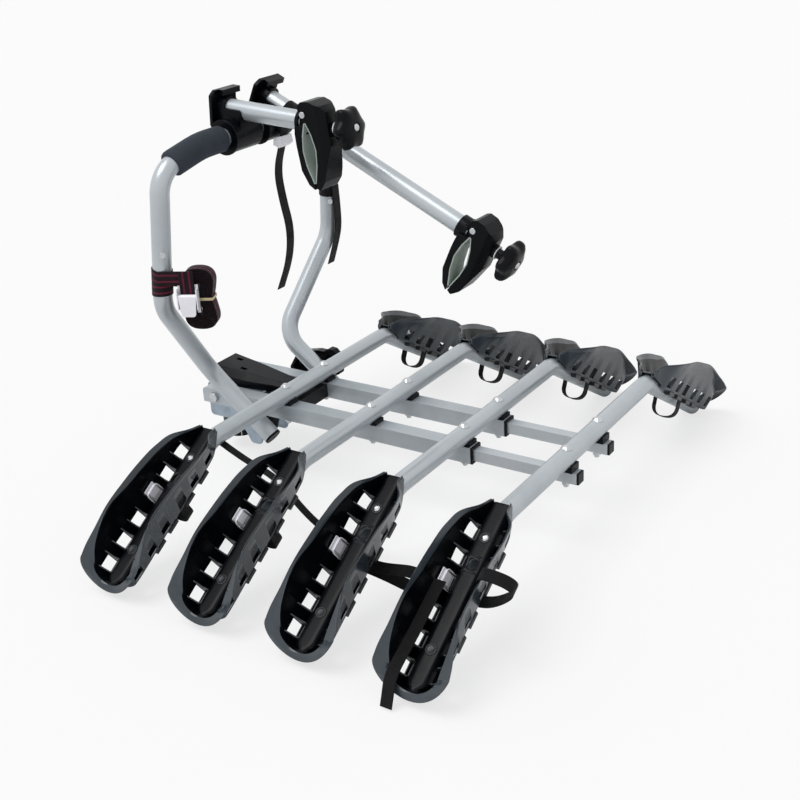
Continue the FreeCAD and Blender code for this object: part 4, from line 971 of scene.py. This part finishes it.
def foam_grip(line):
    """Foam round the near end of the top bar: circles along the bar, drawn in at both ends.

    At a distance d below LIP_LENGTH from an end, the radius is
    GRIP_R (1 - LIP_DEPTH (1 - d / LIP_LENGTH)^LIP_POWER).
    """
    path = respaced(line[line[:, 2] > GRIP_ABOVE], GRIP_STEP)
    path = path[(path[:, 1] > GRIP_FROM) & (path[:, 1] < GRIP_TO)]
    share = np.linspace(0, 1, len(path))
    to_end = np.minimum(share, 1 - share) * len(path) * GRIP_STEP
    lip = 1.0 - LIP_DEPTH * np.clip(1.0 - to_end / LIP_LENGTH, 0, 1) ** LIP_POWER
    side = framed(path, (1, 0, 0))
    off = np.cross(side, unit(np.gradient(path, axis=0)))
    ring = circle(GRIP_R, 56)
    points = side[:, None] * ring[None, :, :1] + off[:, None] * ring[None, :, 1:]
    points = path[:, None] + points * lip[:, None, None]
    return outward(grid_object("grip_foam", points, wrap=True, caps=True))


upright_line = bent_line(UP_PATH, UP_BENDS)
dress(upright_tube(upright_line), "silver_tube", "upright", "upright_frame")
grip_foam = dress(foam_grip(upright_line), "foam", "upright", "grip")

# Nodes that keep their form, with the width of their rounded edges
EDGE_WIDTHS = {
    "rail_1": 0.5, "rail_2": 0.5, "rail_3": 0.5, "rail_4": 0.5, "beam_near": 1.2, "beam_far": 1.2,
    "cross_tube": 1.0, "beam_collars": 0.8, "extension_tubes": 0.8, "end_plugs": 0.8, "rail_saddles": 0.8,
    "rail_fixings": 0.5, "tray_screws": 0.4, "pivot_bolts": 0.5, "tray_buckles": 0.5,
    "upright_plugs": 0.8, "upright_rivets": 0.5, "lever_pin": 0.5, "lock_lever": 1.0,
    "ball_socket": 1.0, "hitch_bolts": 0.6, "hitch_cover": 2.0, "clamp_jaw": 0.8,
    "arm_band_1": 0.8, "arm_band_2": 0.8, "arm_bracket_1": 1.2, "arm_bracket_2": 1.2,
    "arm_tube_1": 0.5, "arm_tube_2": 0.5, "jaw_claw_1": 1.2, "jaw_claw_2": 1.2,
    "jaw_pin_1": 0.4, "jaw_pin_2": 0.4, "claw_pad_1": 0.4, "claw_pad_2": 0.4,
    "jaw_block_1": 1.6, "jaw_block_2": 1.6, "block_pad_1": 0.4, "block_pad_2": 0.4,
    "strap_buckle": 0.6, "tie_buckle": 0.4, "tie_cam": 0.4,
}
for node, width in EDGE_WIDTHS.items():
    node_copy(node, width)
node_copy("hitch_bracket", 0.8, "zinc_plate")

# Knobs and handwheel: profiles of (along, radius)
KNOB_START = 46.3
KNOB = [(0, 0.01), (0, 9), (14.5, 9), (15.5, 12), (15.7, 22), (16.4, 30), (18.4, 35.2), (21.5, 37.6),
        (26, 38), (30.5, 37.4), (34.5, 35.0), (37.8, 30.5), (40.3, 24), (41.8, 16), (42.3, 9.6),
        (40.8, 8.8), (40.6, 0.01)]
KNOB_SCREW = [(40.3, 0.01), (40.3, 6.4), (42.4, 6.2), (43.6, 4.6), (44.0, 2.0), (44.0, 0.01)]
KNOB_WASHER = [(0.4, 8), (0.4, 12.4), (1.8, 12.4), (1.8, 8)]
KNOB_STEM = [(-22, 0.01), (-22, 5), (2, 5), (2, 0.01)]
WHEEL_HUB = (42.3, 0, 14)
WHEEL = [(0, 0.01), (0, 6), (26, 6), (26, 12), (30, 12), (30.5, 22), (32, 26), (37, 27), (42, 26), (44, 22),
         (44.6, 13), (46, 12), (46, 0.01)]


def jaw_knob(i):
    """The lobed knob on jaw i, with its screw, washer and threaded stem."""
    place = jaw_place(i)
    start = place(np.array([KNOB_START, 0.0, -KNOB_DROP[i]]))
    axis = place(np.array([1.0, 0.0, 0.0])) - place(np.zeros(3))
    tag = "_%d" % (i + 1)
    head = turned("knob_head" + tag, KNOB, start, axis, 120, lobes=6, depth=0.19, power=0.7)
    dress(sharpened(head, 50.0), "knob_plastic", "knob" + tag, "jaw_knob" + tag)
    dress(turned("knob_screw" + tag, KNOB_SCREW, start, axis, 36), "zinc", "knob" + tag)
    dress(turned("knob_washer" + tag, KNOB_WASHER, start, axis, 48), "buckle_metal", "knob" + tag)
    dress(turned("knob_stem" + tag, KNOB_STEM, start, axis, 32), "zinc", "knob" + tag)


for i in (0, 1):
    jaw_knob(i)
wheel = turned("handwheel_rim", WHEEL, WHEEL_HUB, (1, 0, 0), 120, lobes=6, depth=0.2, power=0.8)
dress(sharpened(wheel, 50.0), "knob_plastic", "handwheel", "handwheel")

# Webbing on the far leg and on the second arm, along x and z; the arm's wrap is its place, radius and width
LEG_WRAP_Z = 418.0
LEG_STRAP = [(101.8, 427), (103.5, 382), (103, 340), (91, 302), (77, 264)]
ARM_WRAP = (38.0, 17.4, 24.0)
ARM_STRAP = [(141, 593), (131, 557), (111, 501), (118, 446), (130, 391), (121, 333), (93, 271)]
ARM_STRAP_Y = ARM_Y[1] - 5.0


def ring_band(name, spot, way, radius, width, lean=0.0):
    """Webbing once round a tube: a circle about way, tipped by lean in degrees."""
    way = unit(np.asarray(way, float))
    a = unit(np.cross(way, (0.0, 1.0, 0.3)))
    b = np.cross(way, a)
    turn = np.linspace(0, 2 * math.pi, 64, endpoint=False)[:, None]
    rise = math.tan(math.radians(lean)) * radius
    path = spot + radius * (a * np.cos(turn) + b * np.sin(turn)) + way * rise * np.cos(turn)
    return swept(name, path, band_section(width, WEB_T), way, closed=True)


def leg_webbing():
    spot, way = leg_spot(LEG_WRAP_Z, 1)
    return joined("leg_webbing", [
        ring_band("leg_band", spot, way, WRAP_R, LEG_WEB_W),
        ribbon("leg_tail", with_axis(LEG_STRAP, 1, spot[1]), LEG_WEB_W, (0, 1, 0))])


def arm_webbing():
    arm = arm_place(1)
    along, radius, width = ARM_WRAP
    spot = arm(np.array([along, 0.0, ARM_RISE]))
    way = arm(np.array([1.0, 0.0, 0.0])) - arm(np.zeros(3))
    return joined("arm_webbing", [
        ring_band("arm_band_web", spot, way, radius, width),
        ribbon("arm_tail", with_axis(ARM_STRAP, 1, ARM_STRAP_Y), LEG_WEB_W, (0, 1, 0))])


dress(leg_webbing(), "webbing", "upright", "leg_straps")
dress(arm_webbing(), "webbing", "arm_2", "arm_strap")

# Striped tie-down strap on the near leg, with its hank and the elastic band that holds it
HANK_FIRST = -8
HANK_TURNS = 6
HANK_PITCH = 2.6
HANK_INNER = 14.0
HANK_STRAIGHT = 25.0
HANK_WAIST = 8.0
HANK_WAIST_Z = 14.0
HANK_S = 62.0
HANK_Z = -39.0
HANK_TOP = UP_R + WEB_T - 0.6
TIE_WRAPS = ((387.0, 8.0), (365.0, -6.0))
TIE_WRAP_W = 24.0
BAND_W = 5.0
BAND_T = 1.6
BAND_GAP = 1.4


def hank_route():
    """Upright loops, drawn in at the waist, as pairs across and up.

    Side m is HANK_INNER + HANK_PITCH m / 2 from the middle: even sides rise on the left, odd ones fall
    on the right.
    """
    points = []
    last = 2 * HANK_TURNS
    for m in range(HANK_FIRST, last + 1):
        x = HANK_INNER + HANK_PITCH * m / 2.0
        sign = -1 if m % 2 == 0 else 1
        rise = HANK_STRAIGHT + HANK_INNER + HANK_PITCH * (m + 0.5) / 2.0
        low = rise - HANK_PITCH / 2.0
        pull = HANK_WAIST * min(1.0, x / HANK_INNER)
        if m > HANK_FIRST:
            points += [(sign * x * 0.55, sign * low), (sign * x, sign * (low - 0.5 * x))]
        points += [(sign * (x - pull * 0.5), sign * HANK_WAIST_Z), (sign * (x - pull), 0.0),
                   (sign * (x - pull * 0.5), -sign * HANK_WAIST_Z)]
        if m < last:
            points += [(sign * x, -sign * (rise - 0.5 * x)), (sign * x * 0.55, -sign * rise)]
    return np.array(points, float)


def tie_webbing():
    """The hank, two wraps round the leg, and the runs from the leg to the buckle and back."""
    route = with_axis(hank_route() + np.array([HANK_S, HANK_Z]), 1, HANK_TOP - TIE_W / 2)
    parts = [ribbon("hank", route, TIE_W, (0, 1, 0), tie_place, step=2.0)]
    for z, lean in TIE_WRAPS:
        spot, way = leg_spot(z, -1)
        parts.append(ring_band("tie_wrap", spot, way, WRAP_R, TIE_WRAP_W, lean))
    face = -(UP_R + WEB_T / 2)
    run = [(0, face, 1.5), (30, face, 1.5), (50, face, 1.5)]
    parts.append(ribbon("tie_run", run, TIE_W, (0, 0, 1), tie_place))
    down = [(47, face - 1.2, 14), (47, face - 1.2, -20), (47, face - 0.8, -62)]
    parts.append(ribbon("tie_down", down, TIE_W + 1.0, (1, 0, 0), tie_place))
    back = [(0, WRAP_R, -12), (22, WRAP_R, -13), (44, WRAP_R, -14)]
    parts.append(ribbon("tie_back", back, TIE_WRAP_W, (0, 0, 1), tie_place))
    return joined("tie_webbing", parts)


def elastic_band():
    """A flat band in a closed loop round the waist of the hank."""
    half = HANK_INNER + HANK_PITCH * HANK_TURNS - HANK_WAIST + WEB_T / 2 + BAND_T
    front, rear = HANK_TOP + BAND_GAP, HANK_TOP - TIE_W - BAND_GAP
    corners = [(HANK_S - half, front), (HANK_S + half, front), (HANK_S + half, rear), (HANK_S - half, rear)]
    here = with_axis(corners, 2, HANK_Z)
    after = np.roll(here, -1, axis=0)
    route = np.stack([here, here * 0.8 + after * 0.2, here * 0.2 + after * 0.8], axis=1).reshape(-1, 3)
    return ribbon("elastic", route, BAND_W, (0, 0, 1), tie_place,
                  thick=BAND_T, rounds=2, step=2.0, closed=True)


dress(tie_webbing(), "striped_webbing", "upright")
dress(elastic_band(), "band_rubber", "upright", "rubber_band")


# Floor, light and camera
FLOOR_HALF = 40000.0
FLOOR_GAP = 4.0
PHOTO_LENS = 55.80
PHOTO_SPOT = Vector((1.538024, -1.688623, 1.034730))
PHOTO_TURN = Euler([math.radians(a) for a in (65.77063, 3.09725, 32.83405)])


def stage_floor():
    """A pale floor that glows a little where the camera sees it, so that it meets the background."""
    low = float(CAD_BOX[0][2]) / MM - FLOOR_GAP
    half = FLOOR_HALF
    corners = [(-half, -half, low), (half, -half, low), (half, half, low), (-half, half, low)]
    floor = make_object("floor", corners, [[0, 1, 2, 3]], smooth=False)
    mat, tree, shader = blank("pale floor")
    shader.inputs["Base Color"].default_value = (0.9, 0.9, 0.9, 1.0)
    shader.inputs["Roughness"].default_value = 0.8
    shader.inputs["Specular IOR Level"].default_value = 0.1
    path = tree.nodes.new("ShaderNodeLightPath")
    glow = put(tree, "ShaderNodeEmission", Strength=1.0, Color=(1.0, 1.0, 1.0, 1.0))
    seen = maths_node(tree, "MULTIPLY")
    seen.inputs[1].default_value = 0.7
    mix = tree.nodes.new("ShaderNodeMixShader")
    tree.links.new(path.outputs["Is Camera Ray"], seen.inputs[0])
    tree.links.new(seen.outputs["Value"], mix.inputs["Fac"])
    tree.links.new(shader.outputs["BSDF"], mix.inputs[1])
    tree.links.new(glow.outputs["Emission"], mix.inputs[2])
    tree.links.new(mix.outputs["Shader"], tree.nodes["Material Output"].inputs["Surface"])
    floor.data.materials.append(mat)


def light_world():
    """White surroundings: full strength where they are seen or mirrored, softer as light."""
    world = bpy.data.worlds.new("studio")
    bpy.context.scene.world = world
    world.use_nodes = True
    tree = world.node_tree
    back = tree.nodes["Background"]
    back.inputs["Color"].default_value = (1.0, 1.0, 1.0, 1.0)
    path = tree.nodes.new("ShaderNodeLightPath")
    seen = maths_node(tree, "MAXIMUM")
    also = maths_node(tree, "MAXIMUM")
    tree.links.new(path.outputs["Is Camera Ray"], seen.inputs[0])
    tree.links.new(path.outputs["Is Glossy Ray"], seen.inputs[1])
    tree.links.new(seen.outputs["Value"], also.inputs[0])
    tree.links.new(path.outputs["Is Transmission Ray"], also.inputs[1])
    tree.links.new(ranged(tree, also.outputs["Value"], 0.55, 1.0), back.inputs["Strength"])


def sun(name, strength, angle, direction):
    data = bpy.data.lights.new(name, "SUN")
    data.energy = strength
    data.angle = math.radians(angle)
    lamp = bpy.data.objects.new(name, data)
    lamp.rotation_euler = Vector(direction).to_track_quat("-Z", "Y").to_euler()
    bpy.context.scene.collection.objects.link(lamp)


def photo_camera():
    """The camera of the photograph, with its place in metres."""
    data = bpy.data.cameras.new("photo view")
    data.sensor_width = 36.0
    data.lens = PHOTO_LENS
    data.clip_end = 60.0
    cam = bpy.data.objects.new("photo view", data)
    cam.matrix_world = Matrix.LocRotScale(PHOTO_SPOT, PHOTO_TURN, None)
    bpy.context.scene.collection.objects.link(cam)
    bpy.context.scene.camera = cam


stage_floor()
light_world()
sun("key", 1.5, 40.0, (0.25, 0.45, -1.0))
photo_camera()
bpy.context.scene.view_settings.view_transform = "Standard"
